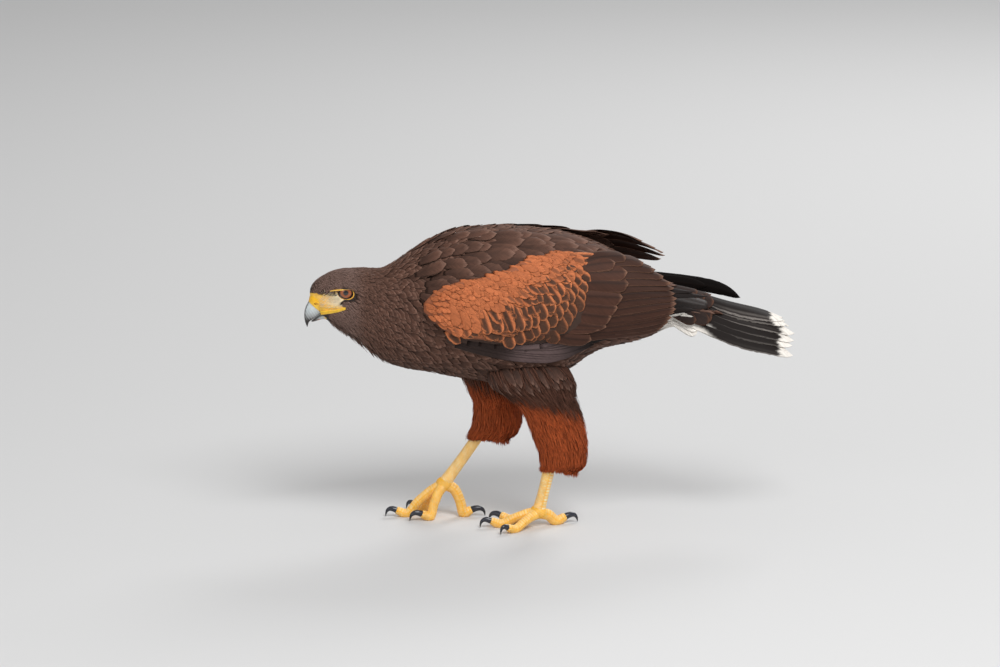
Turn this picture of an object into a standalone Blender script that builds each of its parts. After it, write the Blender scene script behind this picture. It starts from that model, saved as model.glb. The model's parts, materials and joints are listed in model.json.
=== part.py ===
"""A walking hawk at life size, modelled as separate closed solids.

The bird faces -X, its left side is -Y and the floor is Z = 0. Lengths are
millimetres in the whole script and become metres where a mesh is written.
Side-view outlines are (x, z) places, other stations are (x, value) pairs.
"""
import math
import random

import bmesh
import bpy
import numpy as np
from mathutils import Vector

MM = 0.001
GAP = 0.3
WELD = 0.003
SEED = 41

# Fineness of the pieces: rings along and sides around each
TRUNK_SIDES = 22
HEAD_RINGS = 17
HEAD_CROWDING = 1.45
NECK_RINGS = 5
TORSO_RINGS = 14
ROOM_RINGS, ROOM_SIDES = 30, 40
EYE_SIDES, EYE_RINGS = 14, 8
CERE_RINGS, CERE_SIDES = 6, 16
BILL_RINGS, BILL_SIDES = 11, 12
BILL_ROOM_RINGS, BILL_ROOM_SIDES = 6, 14
MANDIBLE_RINGS, MANDIBLE_SIDES = 6, 10
LID_COUNT, LID_SIDES = 16, 5
GAPE_SIDES = 5
NOSTRIL_SIDES, NOSTRIL_RINGS = 10, 6
ARM_ROWS, ARM_COLUMNS = 12, 8
HAND_ROWS, HAND_COLUMNS = 9, 5
RUMP_RINGS, RUMP_SIDES = 6, 18
THIGH_RINGS, THIGH_SIDES = 10, 14
SHANK_RINGS, SHANK_SIDES = 9, 8
TOE_RINGS, TOE_SIDES = 9, 7
CLAW_RINGS, CLAW_SIDES = 6, 6
BALL_SIDES, BALL_RINGS = 10, 7

# Trunk, head and neck: one smooth form along X, parted by upright planes
FOREHEAD_X = -251.5
NECK_FRONT_X = -186.0
NECK_REAR_X = -150.0
RUMP_X = 112.0
TAIL_BASE_X = 168.0
BACK_LINE = ((-251.5, 252.0), (-249.5, 259.0), (-246.0, 263.6), (-236.0, 270.4), (-225.0, 275.0),
             (-213.0, 276.8), (-196.0, 277.0), (-178.0, 275.8), (-162.0, 282.5), (-146.0, 293.5),
             (-125.0, 305.0), (-104.0, 313.6), (-80.0, 318.2), (-50.0, 319.0), (-20.0, 316.5),
             (12.0, 312.0), (42.0, 303.0), (72.0, 289.0), (100.0, 271.0), (127.0, 255.0), (170.0, 240.5))
BELLY_LINE = ((-251.5, 252.0), (-249.8, 243.0), (-246.0, 236.0), (-241.0, 229.0), (-236.0, 224.0),
              (-226.0, 218.0), (-213.0, 209.6), (-199.0, 199.8), (-186.0, 188.6), (-168.0, 176.2),
              (-150.0, 170.5), (-125.0, 166.4), (-100.0, 161.6), (-75.0, 157.0), (-45.0, 153.5),
              (-10.0, 156.0), (10.0, 161.5), (25.0, 171.0), (40.0, 181.5), (54.0, 188.0), (70.0, 191.5),
              (95.0, 196.0), (112.0, 202.5), (127.0, 212.0), (170.0, 222.0))
WAIST_LINE = ((-251.5, 251.5), (-245.0, 249.0), (-228.0, 250.0), (-210.0, 247.0), (-190.0, 241.0),
              (-165.0, 235.0), (-130.0, 231.0), (-60.0, 226.0), (0.0, 224.0), (50.0, 226.0),
              (90.0, 231.0), (127.0, 236.0), (170.0, 232.0))
HALF_WIDTH = ((-251.5, 0.0), (-250.0, 4.4), (-247.0, 7.4), (-243.0, 10.0), (-236.0, 13.6), (-228.0, 17.2),
              (-220.0, 20.2), (-211.0, 22.2), (-200.0, 24.4), (-188.0, 26.8), (-172.0, 30.5),
              (-156.0, 37.0), (-140.0, 43.5), (-120.0, 49.5), (-95.0, 53.5), (-60.0, 55.5), (-15.0, 54.5),
              (25.0, 50.0), (60.0, 42.5), (90.0, 34.0), (112.0, 27.0), (127.0, 23.0), (170.0, 21.0))
TRUNK_POWER = 2.25
PLACE_STEP = 0.5
STEEP = 0.2
TURN_STEP = 0.01

# Head relief: (x, z, reach along x, reach along z, height), on both sides
HEAD_RELIEF = ((-217.0, 263.0, 11.0, 3.4, 1.9), (-231.0, 247.5, 8.0, 6.0, -1.8),
               (-213.8, 255.0, 8.5, 6.0, -1.2), (-208.0, 238.0, 12.0, 8.0, 0.9))
RELIEF_CLEAR = 9.0
EYE_CENTRE = (-213.8, 12.4, 255.4)
EYE_RADIUS = 10.0
LID_FRONT, LID_REAR, LID_UP, LID_DOWN = 10.2, 7.9, 5.2, 7.0
LID_RADIUS = 0.95
LID_SLOPE = 0.12
GAPE_LINE = ((-240.0, 232.8), (-231.9, 234.6), (-223.0, 236.8), (-215.5, 239.6))
GAPE_RADIUS = 1.15
GAPE_TAPER = 0.7
GAPE_SINK = 0.3
GAPE_STATIONS = 7

# Bill: (x, z) of the ridge, (x, z) of the cutting edge, half width
BILL_STATIONS = ((-242.6, 255.0, -236.4, 235.6, 10.2), (-248.4, 253.2, -237.2, 233.6, 9.2),
                 (-251.4, 248.0, -238.0, 232.0, 8.4), (-252.6, 243.0, -239.0, 230.8, 7.7),
                 (-255.2, 237.8, -243.0, 227.6, 6.7), (-256.8, 232.6, -247.0, 224.6, 5.4),
                 (-257.2, 227.5, -250.6, 222.2, 4.1), (-256.7, 222.5, -252.6, 219.8, 2.8),
                 (-255.5, 218.3, -253.4, 217.2, 1.6), (-254.4, 215.6, -253.9, 215.4, 0.5))
CERE_END = 3.0
BILL_ROOM_END = 6.0
MANDIBLE_ROOM_END = 3.0
ROOM_LAP = 0.2
MANDIBLE_STATIONS = ((-232.0, 230.8, -232.0, 223.6, 8.0), (-237.5, 230.0, -237.5, 223.6, 6.8),
                     (-243.0, 226.7, -242.6, 222.6, 5.4), (-247.0, 223.8, -246.4, 221.4, 3.8),
                     (-249.8, 221.8, -249.4, 220.8, 1.8))
BILL_FULLNESS = (1.0, 0.6)
MANDIBLE_FULLNESS = (0.6, 1.0)
NOSTRIL = (-245.4, 8.2, 241.4)
NOSTRIL_SIZE = (1.9, 1.6, 1.1)
BILL_SPLIT = GAP / 24.0

# Folded wings: a sheath over the trunk that flares clear of the rump
SHEATH_RISE = ((-150.0, 0.6), (30.0, 0.6), (60.0, 4.0), (92.0, 9.0), (128.0, 11.0), (205.0, 8.0))
SHEATH_FLARE = ((-150.0, 0.6), (20.0, 0.6), (60.0, 7.0), (92.0, 13.0), (128.0, 18.0), (205.0, 15.0))
RIGHT_LIFT = ((-60.0, 0.0), (20.0, 3.0), (70.0, 9.0), (120.0, 10.0), (205.0, 6.0))

# Wing cores: side-view edges, upper and lower, and heights over the sheath
ARM_UPPER = ((-134.0, 249.0), (-122.0, 261.0), (-95.0, 272.0), (-67.0, 276.5), (-50.0, 281.5),
             (-36.0, 288.0), (-8.0, 294.0), (15.0, 294.5), (44.0, 289.0))
ARM_LOWER = ((-134.0, 240.0), (-120.0, 227.0), (-104.0, 217.0), (-80.0, 213.0), (-40.0, 212.0),
             (0.0, 214.0), (24.0, 219.0), (44.0, 232.0))
ARM_BASE = 3.9
ARM_THICKNESS = ((-134.0, 3.0), (-110.0, 6.2), (-60.0, 7.0), (-20.0, 6.4), (15.0, 4.6), (44.0, 2.2))
HAND_UPPER = ((-112.0, 222.0), (-80.0, 220.0), (-30.0, 219.0), (20.0, 222.0), (40.0, 224.0))
HAND_LOWER = ((-112.0, 208.0), (-95.0, 199.0), (-46.0, 187.0), (-12.0, 183.0), (10.0, 186.5), (40.0, 206.0))
HAND_THICKNESS = 2.2
PANEL_END = 0.35
PANEL_RISE = 7.0
PANEL_EDGE = 0.3

# Vanes: share of the length at each row, and half width there as a share of the widest
LONG_SHARES = (0.0, 0.28, 0.56, 0.86, 1.0)
LONG_VANE = (0.6, 0.9, 1.0, 0.82, 0.28)
TAIL_SHARES = (0.0, 0.5, 0.86, 1.0)
TAIL_VANE = (0.62, 1.0, 0.84, 0.30)
LOCK_VANE = (0.62, 0.94, 0.62, 0.12)
SHORT_SHARES = (0.0, 0.62, 1.0)
SHORT_VANE = (0.72, 1.0, 0.46)
VANE_THICKNESS = 0.82
TIP_THINNING = 0.39
EDGE_THINNING = 0.26
SHINGLE = 1.35
TIP_VARIATION = 1.2
WIDTH_VARIATION = 0.05

# Feathers of one wing in side view: root x, root z, tip x, tip z, half width
TERTIALS = ((8.0, 283.0, 76.0, 289.5, 9.0), (6.0, 276.0, 96.0, 279.0, 10.5),
            (4.0, 268.0, 112.0, 268.5, 11.5), (2.0, 259.0, 121.0, 262.0, 11.5))
SECONDARY_COUNT = 7
SECONDARY_ROOTS = ((0.0, 250.0), (0.0, 211.0))
SECONDARY_TIPS = ((126.0, 256.0), (129.0, 248.0), (129.0, 237.0), (123.5, 224.5), (114.0, 215.5))
SECONDARY_HALF = 10.5
SECONDARY_HEIGHTS = (5.7, 5.7)
GREATER_COVERTS = ((16.0, 280.0, 66.0, 281.0, 9.5), (20.0, 272.0, 79.0, 267.0, 12.5),
                   (14.0, 254.0, 70.0, 248.0, 11.0), (8.0, 241.0, 58.0, 234.0, 11.0),
                   (0.0, 228.0, 52.0, 219.0, 11.0), (-10.0, 219.0, 38.0, 207.5, 10.0))
GREATER_HEIGHTS = (6.1, 8.3)
MEDIAN_COVERTS = ((-2.0, 279.0, 38.0, 274.0, 10.5), (-6.0, 262.0, 36.0, 252.0, 10.5),
                  (-14.0, 249.0, 25.0, 235.0, 10.5), (-24.0, 237.0, 11.0, 217.5, 10.5),
                  (-36.0, 228.0, -3.0, 205.0, 10.0), (-54.0, 225.0, -24.0, 202.5, 9.5),
                  (-74.0, 224.0, -46.0, 202.5, 9.0), (-92.0, 225.0, -69.0, 206.0, 8.5))
MEDIAN_HEIGHTS = (7.4, 10.6)

# Primaries of the folded hand, and the long ones of the right wing that stand out past the rest
PRIMARIES = ((10.0, 219.0, 120.0, 251.0, 8.0), (6.0, 215.0, 150.0, 252.0, 8.5),
             (0.0, 210.0, 163.0, 246.5, 8.5), (-6.0, 205.0, 150.0, 236.0, 8.0),
             (-14.0, 198.0, 100.0, 217.0, 9.0))
LONG_PRIMARIES = ((40.0, 266.0, 204.0, 229.5, 8.5), (14.0, 228.0, 176.0, 238.0, 8.0),
                  (8.0, 220.0, 152.0, 238.0, 8.0), (-4.0, 209.0, 136.0, 236.0, 8.0),
                  (-14.0, 198.0, 105.0, 219.0, 9.0))
PRIMARY_HEIGHTS = (1.75, 1.75)
PRIMARY_SHINGLE = 0.75

# Scapulars on one side of the trunk: root x, root z, tip x, tip z, half width
SCAPULARS = ((-112.0, 293.0, -84.0, 282.0, 7.5), (-95.0, 298.0, -64.0, 285.5, 8.0),
             (-78.0, 303.0, -46.0, 291.5, 8.0), (-60.0, 307.0, -28.0, 299.0, 8.5),
             (-40.0, 310.5, -4.0, 302.5, 9.0), (-20.0, 312.0, 18.0, 302.5, 9.0),
             (2.0, 310.0, 44.0, 298.5, 9.0))
SCAPULAR_HEIGHTS = (-1.5, 5.0)

# Tail: crown of the fan, half width and droop of its sides
TAIL_CROWN = ((112.0, 258.0), (127.0, 252.0), (159.0, 242.5), (190.0, 232.5), (227.0, 222.0),
              (257.0, 208.0))
TAIL_HALF = ((112.0, 20.0), (127.0, 21.0), (159.0, 25.0), (200.0, 33.0), (257.0, 42.0))
TAIL_DROOP = ((112.0, 26.0), (127.0, 29.0), (159.0, 32.0), (204.0, 33.0), (257.0, 30.0))
TAIL_ARCH = 1.7
RUMP_DEPTH = 12.0
RUMP_TAPER = 0.72
FEATHERS_PER_SIDE = 6
TAIL_SPACING = 1.0 / 6.1
TAIL_MIDDLE_RISE = 1.3
TAIL_STEP = 0.25
TAIL_NOTCH = 2.5
TAIL_SINK = 1.0
TAIL_COVERT_HEIGHTS = (0.0, 3.2)
UNDERTAIL_HEIGHTS = (-10.0, -6.0)
TAIL_ROOT_X = 128.0
TAIL_TIP_X = 257.0
TAIL_VANE_HALF = 10.2
TAIL_SHINGLE = 1.05
TAIL_COVERTS = ((120.0, -0.30, 158.0, -0.22, 9.0), (120.0, 0.30, 158.0, 0.22, 9.0),
                (118.0, -0.62, 146.0, -0.52, 9.0), (118.0, 0.62, 146.0, 0.52, 9.0))
UNDERTAIL_COVERTS = ((120.0, -0.5, 160.0, -0.42, 8.5), (120.0, 0.5, 160.0, 0.42, 8.5),
                     (120.0, 0.0, 172.0, 0.0, 9.0))

# Trousers: height, centre x, centre y, half length, half breadth
LEFT_THIGH = ((186.0, -30.0, -30.0, 34.0, 10.0), (172.0, -26.0, -34.0, 44.0, 16.0),
              (158.0, -22.0, -36.0, 43.0, 19.5), (142.0, -10.5, -36.0, 32.0, 21.0),
              (124.0, -0.5, -34.0, 28.0, 20.0), (101.0, 6.8, -31.0, 26.2, 18.0),
              (80.0, 11.2, -28.0, 23.2, 14.5), (68.0, 11.5, -26.5, 21.5, 12.5),
              (62.5, 7.0, -26.0, 17.8, 10.0))
RIGHT_THIGH = ((186.0, -62.0, 30.0, 30.0, 10.0), (172.0, -61.0, 34.0, 36.0, 16.0),
               (156.0, -60.0, 36.0, 31.0, 20.0), (138.0, -57.0, 35.0, 25.5, 20.5),
               (121.0, -52.0, 33.0, 24.0, 19.0), (104.0, -53.0, 30.0, 23.5, 16.0),
               (92.0, -57.0, 28.0, 23.5, 13.5), (85.5, -63.5, 27.0, 20.0, 11.0))

# Locks on the trousers: height of root and tip over the lowest ring, half width, turns about the thigh
LOCK_TIERS = ((60.0, 24.0, 7.0, (-0.7, 0.0, 0.7)), (38.0, 1.0, 6.5, (-1.3, -0.45, 0.45, 1.3)))
LOCK_HEIGHTS = (-1.2, 2.6)
LOCK_TILT = 0.8

# Shanks and toes: (x, y, z, radius) along each
LEFT_SHANK = ((1.5, -27.5, 78.0, 5.0), (-2.3, -26.0, 62.0, 6.4), (-7.0, -23.5, 40.0, 6.0),
              (-11.5, -21.3, 21.0, 6.7), (-13.0, -21.0, 15.5, 7.4))
RIGHT_SHANK = ((-61.0, 28.0, 103.0, 5.0), (-72.5, 27.0, 86.9, 6.0), (-90.0, 26.5, 62.0, 6.0),
               (-104.5, 26.5, 42.0, 6.7), (-108.5, 27.0, 36.0, 7.4))
LEFT_TOES = {
    "middle": ((-13.0, -21.0, 14.5, 6.4), (-25.0, -21.5, 13.0, 5.5), (-40.0, -22.0, 8.5, 5.0),
               (-52.0, -22.5, 3.2, 5.1), (-62.0, -23.0, 6.6, 4.2)),
    "inner": ((-13.0, -21.0, 14.5, 6.4), (-23.0, -14.5, 12.0, 5.4), (-33.0, -9.0, 7.0, 5.0),
              (-41.5, -4.5, 3.2, 5.2), (-49.5, -1.2, 6.6, 4.4)),
    "outer": ((-13.0, -21.0, 14.5, 6.4), (-22.0, -29.0, 11.8, 5.2), (-31.0, -37.0, 7.2, 4.7),
              (-39.5, -44.0, 2.9, 4.8), (-47.0, -49.3, 6.0, 4.0)),
    "hind": ((-13.0, -21.0, 14.5, 6.4), (-3.0, -18.5, 11.5, 5.8), (7.0, -15.5, 3.6, 5.6),
             (15.0, -13.0, 6.6, 4.6)),
}
RIGHT_TOES = {
    "middle": ((-108.5, 27.0, 35.5, 6.4), (-121.0, 28.0, 29.0, 5.4), (-135.0, 29.0, 17.5, 5.0),
               (-148.5, 29.6, 3.2, 5.1), (-158.0, 30.0, 6.6, 4.2)),
    "inner": ((-108.5, 27.0, 35.5, 6.4), (-114.5, 21.0, 29.0, 5.4), (-120.0, 17.0, 17.0, 5.0),
              (-125.0, 14.0, 3.2, 5.2), (-132.5, 12.4, 6.6, 4.4)),
    "outer": ((-108.5, 27.0, 35.5, 6.4), (-115.0, 35.5, 29.5, 5.2), (-122.5, 43.0, 18.0, 4.7),
              (-130.0, 49.5, 2.9, 4.8), (-137.5, 54.5, 6.0, 4.0)),
    "hind": ((-108.5, 27.0, 35.5, 6.4), (-98.5, 26.5, 30.0, 5.8), (-92.0, 26.0, 17.0, 5.4),
             (-88.0, 25.5, 3.3, 5.5), (-81.0, 25.0, 6.6, 4.6)),
}
CLAW_LENGTH = {"middle": 15.5, "inner": 17.5, "outer": 13.0, "hind": 19.0}
CLAW_TIP_Z = 0.7
CLAW_ROOT = 0.82
CLAW_TAPER = ((0.35, 0.64), (0.7, 0.38), (1.0, 0.1))
CLAW_REACH = 0.8
CLAW_ARCH = 3.2
BALL_RADII = (9.2, 8.6, 7.8)

COLOURS = {
    "plumage": (0.075, 0.048, 0.040), "shoulder": (0.32, 0.105, 0.040), "trousers": (0.30, 0.085, 0.030),
    "flight": (0.030, 0.021, 0.019), "cere": (0.90, 0.52, 0.07), "horn": (0.46, 0.52, 0.54),
    "eye": (0.14, 0.045, 0.014), "legs": (0.86, 0.56, 0.12), "claws": (0.035, 0.038, 0.045),
}
ROUGHNESS = {"eye": 0.06, "horn": 0.3, "claws": 0.28, "cere": 0.45, "legs": 0.5}
PLUMAGE_ROUGHNESS = 0.75
SHARP_DEGREES = 40.0


def clear_scene():
    """Remove every object that the scene holds."""
    for old in list(bpy.data.objects):
        bpy.data.objects.remove(old, do_unlink=True)


def make_material(name):
    """Make the Principled material of one finish, from its colour and roughness."""
    material = bpy.data.materials.new(name)
    material.use_nodes = True
    shader = material.node_tree.nodes["Principled BSDF"]
    shader.inputs["Base Color"].default_value = (*COLOURS[name], 1.0)
    shader.inputs["Roughness"].default_value = ROUGHNESS.get(name, PLUMAGE_ROUGHNESS)
    shader.inputs["Metallic"].default_value = 0.0
    return material


def smooth_curve(stations, place):
    """Read a smooth curve with no overshoot through (place, value) stations.

    It is a cubic in the root of the distance behind the forehead, so a form
    that starts at the forehead starts round.
    """
    knots = np.sqrt(np.maximum(np.array([station[0] for station in stations]) - FOREHEAD_X, 0.0))
    values = np.array([station[1] for station in stations], dtype=float)
    where = np.sqrt(np.maximum(np.asarray(place, dtype=float) - FOREHEAD_X, 0.0))
    return cubic(knots, values, where)


def cubic(knots, values, where):
    """Read a monotone cubic through values at knots, held flat past both ends."""
    steps = np.diff(knots)
    slopes = np.diff(values) / steps
    joined = np.zeros(len(values))
    same_way = slopes[:-1] * slopes[1:] > 0.0
    mean = 2.0 * slopes[:-1] * slopes[1:] / np.where(same_way, slopes[:-1] + slopes[1:], 1.0)
    joined[1:-1] = np.where(same_way, mean, 0.0)
    joined[0] = slopes[0]
    joined[-1] = slopes[-1]
    where = np.clip(where, knots[0], knots[-1])
    index = np.clip(np.searchsorted(knots, where) - 1, 0, len(knots) - 2)
    step = steps[index]
    part = (where - knots[index]) / step
    rise = part * part * (3.0 - 2.0 * part)
    lead = part * (1.0 - part) ** 2 * step
    trail = part * part * (part - 1.0) * step
    blend = values[index] * (1.0 - rise) + values[index + 1] * rise
    return blend + joined[index] * lead + joined[index + 1] * trail


def path_points(stations, count):
    """Read count points along a smooth path through stations of any number of values."""
    table = np.array(stations, dtype=float)
    knots = np.arange(len(table), dtype=float)
    where = np.linspace(0.0, knots[-1], count)
    columns = [cubic(knots, table[:, column], where) for column in range(table.shape[1])]
    return np.stack(columns, axis=1)


def trunk_point(x, angle, grow=0.0):
    """Place points on the trunk: angle 0 on the back, positive to the bird's right, pi on the belly."""
    top = smooth_curve(BACK_LINE, x) + grow
    low = smooth_curve(BELLY_LINE, x) - grow
    waist = smooth_curve(WAIST_LINE, x)
    width = smooth_curve(HALF_WIDTH, x) + grow
    return oval(x, top, waist, low, width, angle)


def oval(x, top, waist, low, width, angle):
    """Place points on an upright oval section whose upper and lower halves differ in height."""
    cosine, sine = np.cos(angle), np.sin(angle)
    flat = 2.0 / TRUNK_POWER
    y = width * np.sign(sine) * np.abs(sine) ** flat
    rise = np.where(cosine > 0.0, top - waist, waist - low)
    z = waist + rise * np.sign(cosine) * np.abs(cosine) ** flat
    return np.stack(np.broadcast_arrays(x, y, z), axis=-1)


def sheath_values(x, side):
    """Give top, waist, low and half width of the sheath that the folded wing lies on."""
    lift = smooth_curve(RIGHT_LIFT, x) if side > 0 else 0.0
    top = smooth_curve(BACK_LINE, x) + smooth_curve(SHEATH_RISE, x) + lift
    waist = smooth_curve(WAIST_LINE, x) + 0.5 * lift
    low = smooth_curve(BELLY_LINE, x) - 0.6
    width = smooth_curve(HALF_WIDTH, x) + smooth_curve(SHEATH_FLARE, x)
    return top, waist, low, width


def sheath_angle(x, z, side):
    """Give the angle on the sheath where its side view shows the place (x, z)."""
    top, waist, low, _ = sheath_values(x, side)
    up = z > waist
    reach = np.where(up, (z - waist) / (top - waist), (waist - z) / (waist - low))
    cosine = np.clip(reach, 0.0, 1.0) ** (TRUNK_POWER / 2.0)
    return np.where(up, np.arccos(cosine), math.pi - np.arccos(cosine))


def sheath_point(x, angle, side):
    """Place points on the sheath of one wing."""
    top, waist, low, width = sheath_values(x, side)
    return oval(x, top, waist, low, width, angle * side)


def raised(surface, x, across, height, outward):
    """Place points height above a surface of two parameters, along its normal on the outward side."""
    along = surface(x + PLACE_STEP, across) - surface(x - PLACE_STEP, across)
    around = surface(x, across + TURN_STEP) - surface(x, across - TURN_STEP)
    normal = np.cross(along, around) * outward
    normal /= np.linalg.norm(normal, axis=-1, keepdims=True)
    return surface(x, across) + normal * np.asarray(height)[..., None]


def vane(surface, outward, root, tip, half_width, heights, shape, shares, tilt=0.0):
    """Make one feather on a surface of two parameters: a thin blade from root to tip.

    heights are those of its middle at root and tip, and tilt raises the edge on the far side of the lie.
    """
    root, tip = np.array(root, dtype=float), np.array(tip, dtype=float)
    middle = (root + tip) / 2.0
    beside = surface(middle[0], middle[1] + TURN_STEP) - surface(middle[0], middle[1] - TURN_STEP)
    scale = np.linalg.norm(beside) / (2.0 * TURN_STEP)
    run = np.array([tip[0] - root[0], (tip[1] - root[1]) * scale])
    run /= np.linalg.norm(run)
    share = np.array(shares)[:, None]
    wide = np.array(shape)[:, None] * half_width
    column = np.array((-1.0, 0.0, 1.0))[None, :]
    x = root[0] + (tip[0] - root[0]) * share - column * wide * run[1]
    across = root[1] + (tip[1] - root[1]) * share + column * wide * run[0] / scale
    height = heights[0] + (heights[1] - heights[0]) * share + tilt * column * np.array(shape)[:, None]
    half = VANE_THICKNESS / 2.0 * (1.0 - TIP_THINNING * share) * (1.0 - EDGE_THINNING * np.abs(column))
    return plate("vane", raised(surface, x, across, height + half, outward),
                 raised(surface, x, across, height - half, outward))


def make_object(name, vertices, faces):
    """Make a mesh object in metres from millimetre places, with all faces turned outwards."""
    mesh = bpy.data.meshes.new(name)
    mesh.from_pydata([tuple(float(value) * MM for value in place) for place in vertices], [], faces)
    work = bmesh.new()
    work.from_mesh(mesh)
    bmesh.ops.recalc_face_normals(work, faces=work.faces)
    if work.calc_volume(signed=True) < 0.0:
        bmesh.ops.reverse_faces(work, faces=work.faces)
    work.to_mesh(mesh)
    work.free()
    made = bpy.data.objects.new(name, mesh)
    bpy.context.scene.collection.objects.link(made)
    return made


def loft(name, rings):
    """Join closed rings of points, given as (ring, point, 3), into a solid with flat end caps."""
    count, around = rings.shape[:2]
    faces = []
    for ring in range(count - 1):
        start = ring * around
        for point in range(around):
            after = (point + 1) % around
            faces.append((start + point, start + after, start + around + after, start + around + point))
    faces.append(tuple(range(around)))
    faces.append(tuple((count - 1) * around + point for point in range(around)))
    return make_object(name, rings.reshape(-1, 3), faces)


def plate(name, outer, inner):
    """Close two like grids of points into a thin plate, split into triangles alike on both faces."""
    rows, columns = outer.shape[:2]
    faces = []
    for row in range(rows - 1):
        for column in range(columns - 1):
            corner = row * columns + column
            for base in (0, rows * columns):
                first = base + corner
                faces.append((first, first + 1, first + columns))
                faces.append((first + 1, first + columns + 1, first + columns))
    border = [(0, column) for column in range(columns)]
    border += [(row, columns - 1) for row in range(1, rows)]
    border += [(rows - 1, column) for column in range(columns - 2, -1, -1)]
    border += [(row, 0) for row in range(rows - 2, 0, -1)]
    ring = [row * columns + column for row, column in border]
    for first, second in zip(ring, ring[1:] + ring[:1]):
        faces.append((first, second, rows * columns + second))
        faces.append((first, rows * columns + second, rows * columns + first))
    vertices = np.concatenate([outer.reshape(-1, 3), inner.reshape(-1, 3)])
    return make_object(name, vertices, faces)


def tube(name, stations, sides, count, grow=0.0, start=None):
    """Carry a round section along a path of (x, y, z, radius) stations, closed at both ends.

    start is the direction that the first end faces away from, where it butts on another piece.
    """
    path = path_points(stations, count)
    centres, radii = path[:, :3], path[:, 3] + grow
    tangents = np.gradient(centres, axis=0)
    if start is not None:
        tangents[0] = start
    tangents /= np.linalg.norm(tangents, axis=1, keepdims=True)
    level = np.cross(tangents, (0.0, 0.0, 1.0))
    if (np.linalg.norm(level, axis=1) < STEEP).any():
        level = np.cross(tangents, (1.0, 0.0, 0.0))
    level /= np.linalg.norm(level, axis=1, keepdims=True)
    upright = np.cross(level, tangents)
    turns = (np.arange(sides) + 0.5) * 2.0 * math.pi / sides
    ring = (np.cos(turns)[None, :, None] * level[:, None, :]
            + np.sin(turns)[None, :, None] * upright[:, None, :])
    return loft(name, centres[:, None, :] + ring * radii[:, None, None])


def evaluated_copy(made):
    """Apply an object's modifiers by putting the mesh that they give in its place."""
    bpy.context.view_layer.update()
    graph = bpy.context.evaluated_depsgraph_get()
    mesh = bpy.data.meshes.new_from_object(made.evaluated_get(graph))
    made.modifiers.clear()
    made.data = mesh


def keep_largest(made):
    """Keep only the closed surface of a mesh that holds the most volume."""
    work = bmesh.new()
    work.from_mesh(made.data)
    bmesh.ops.remove_doubles(work, verts=work.verts, dist=WELD * MM)
    unseen = set(work.faces)
    bodies = []
    while unseen:
        stack = [unseen.pop()]
        body = list(stack)
        while stack:
            face = stack.pop()
            for edge in face.edges:
                for other in edge.link_faces:
                    if len(edge.link_faces) == 2 and other in unseen:
                        unseen.remove(other)
                        stack.append(other)
                        body.append(other)
        bodies.append(body)
    sizes = []
    for body in bodies:
        volume = 0.0
        for face in body:
            corners = [vert.co for vert in face.verts]
            for second, third in zip(corners[1:], corners[2:]):
                volume += corners[0].dot(second.cross(third)) / 6.0
        sizes.append(abs(volume))
    best = sizes.index(max(sizes))
    loose = [face for index, body in enumerate(bodies) if index != best for face in body]
    if loose:
        bmesh.ops.delete(work, geom=loose, context="FACES")
        stray = [vert for vert in work.verts if not vert.link_faces]
        bmesh.ops.delete(work, geom=stray, context="VERTS")
    work.to_mesh(made.data)
    work.free()


def fuse(base, pieces):
    """Join closed pieces to a base solid with one Boolean union on a collection."""
    group = bpy.data.collections.new(base.name + "_pieces")
    bpy.context.scene.collection.children.link(group)
    for piece in pieces:
        for holder in list(piece.users_collection):
            holder.objects.unlink(piece)
        group.objects.link(piece)
    union = base.modifiers.new("union", "BOOLEAN")
    union.operation = "UNION"
    union.operand_type = "COLLECTION"
    union.collection = group
    union.solver = "EXACT"
    evaluated_copy(base)
    for piece in pieces:
        bpy.data.objects.remove(piece, do_unlink=True)
    bpy.data.collections.remove(group)
    keep_largest(base)
    return base


def cut(base, cutters):
    """Cut closed cutters out of a base solid and remove them."""
    for cutter in cutters:
        difference = base.modifiers.new("cut", "BOOLEAN")
        difference.operation = "DIFFERENCE"
        difference.object = cutter
        difference.solver = "EXACT"
    evaluated_copy(base)
    for cutter in cutters:
        bpy.data.objects.remove(cutter, do_unlink=True)
    keep_largest(base)
    return base


def ellipsoid(name, centre, radii, segments, rings):
    """Make a closed ball with its own radius along each axis."""
    bpy.ops.mesh.primitive_uv_sphere_add(segments=segments, ring_count=rings, radius=1.0)
    ball = bpy.context.object
    ball.name = name
    for vertex in ball.data.vertices:
        vertex.co = Vector([(place + part * radius) * MM
                            for place, part, radius in zip(centre, vertex.co, radii)])
    return ball


def trunk_length(name, first_x, last_x, rings, around, grow=0.0):
    """Make one length of the trunk between two upright planes."""
    share = np.linspace(0.0, 1.0, rings)
    places = first_x + (last_x - first_x) * share
    turns = (np.arange(around) + 0.5) * 2.0 * math.pi / around - math.pi
    return loft(name, trunk_point(places[:, None], turns[None, :], grow))


def head_relief(points):
    """Raise the brows and cheeks and hollow the lores, as smooth bumps on both sides of the head."""
    x, y, z = points[..., 0], points[..., 1], points[..., 2]
    height = np.zeros_like(x)
    for centre_x, centre_z, reach_x, reach_z, rise in HEAD_RELIEF:
        height += rise * np.exp(-((x - centre_x) / reach_x) ** 2 - ((z - centre_z) / reach_z) ** 2)
    side = np.clip(np.abs(y) / RELIEF_CLEAR, 0.0, 1.0)
    return points + np.stack([np.zeros_like(x), np.sign(y) * height * side, np.zeros_like(x)], axis=-1)


def head_surface_y(x, z):
    """Give the half width of the finished head surface at a side-view place."""
    top = smooth_curve(BACK_LINE, x)
    waist = smooth_curve(WAIST_LINE, x)
    low = smooth_curve(BELLY_LINE, x)
    reach = np.where(z > waist, (z - waist) / (top - waist), (waist - z) / (waist - low))
    y = smooth_curve(HALF_WIDTH, x) * (1.0 - np.clip(reach, 0.0, 1.0) ** TRUNK_POWER) ** (1.0 / TRUNK_POWER)
    points = np.stack(np.broadcast_arrays(x, y, z), axis=-1)
    return head_relief(points)[..., 1]


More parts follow.
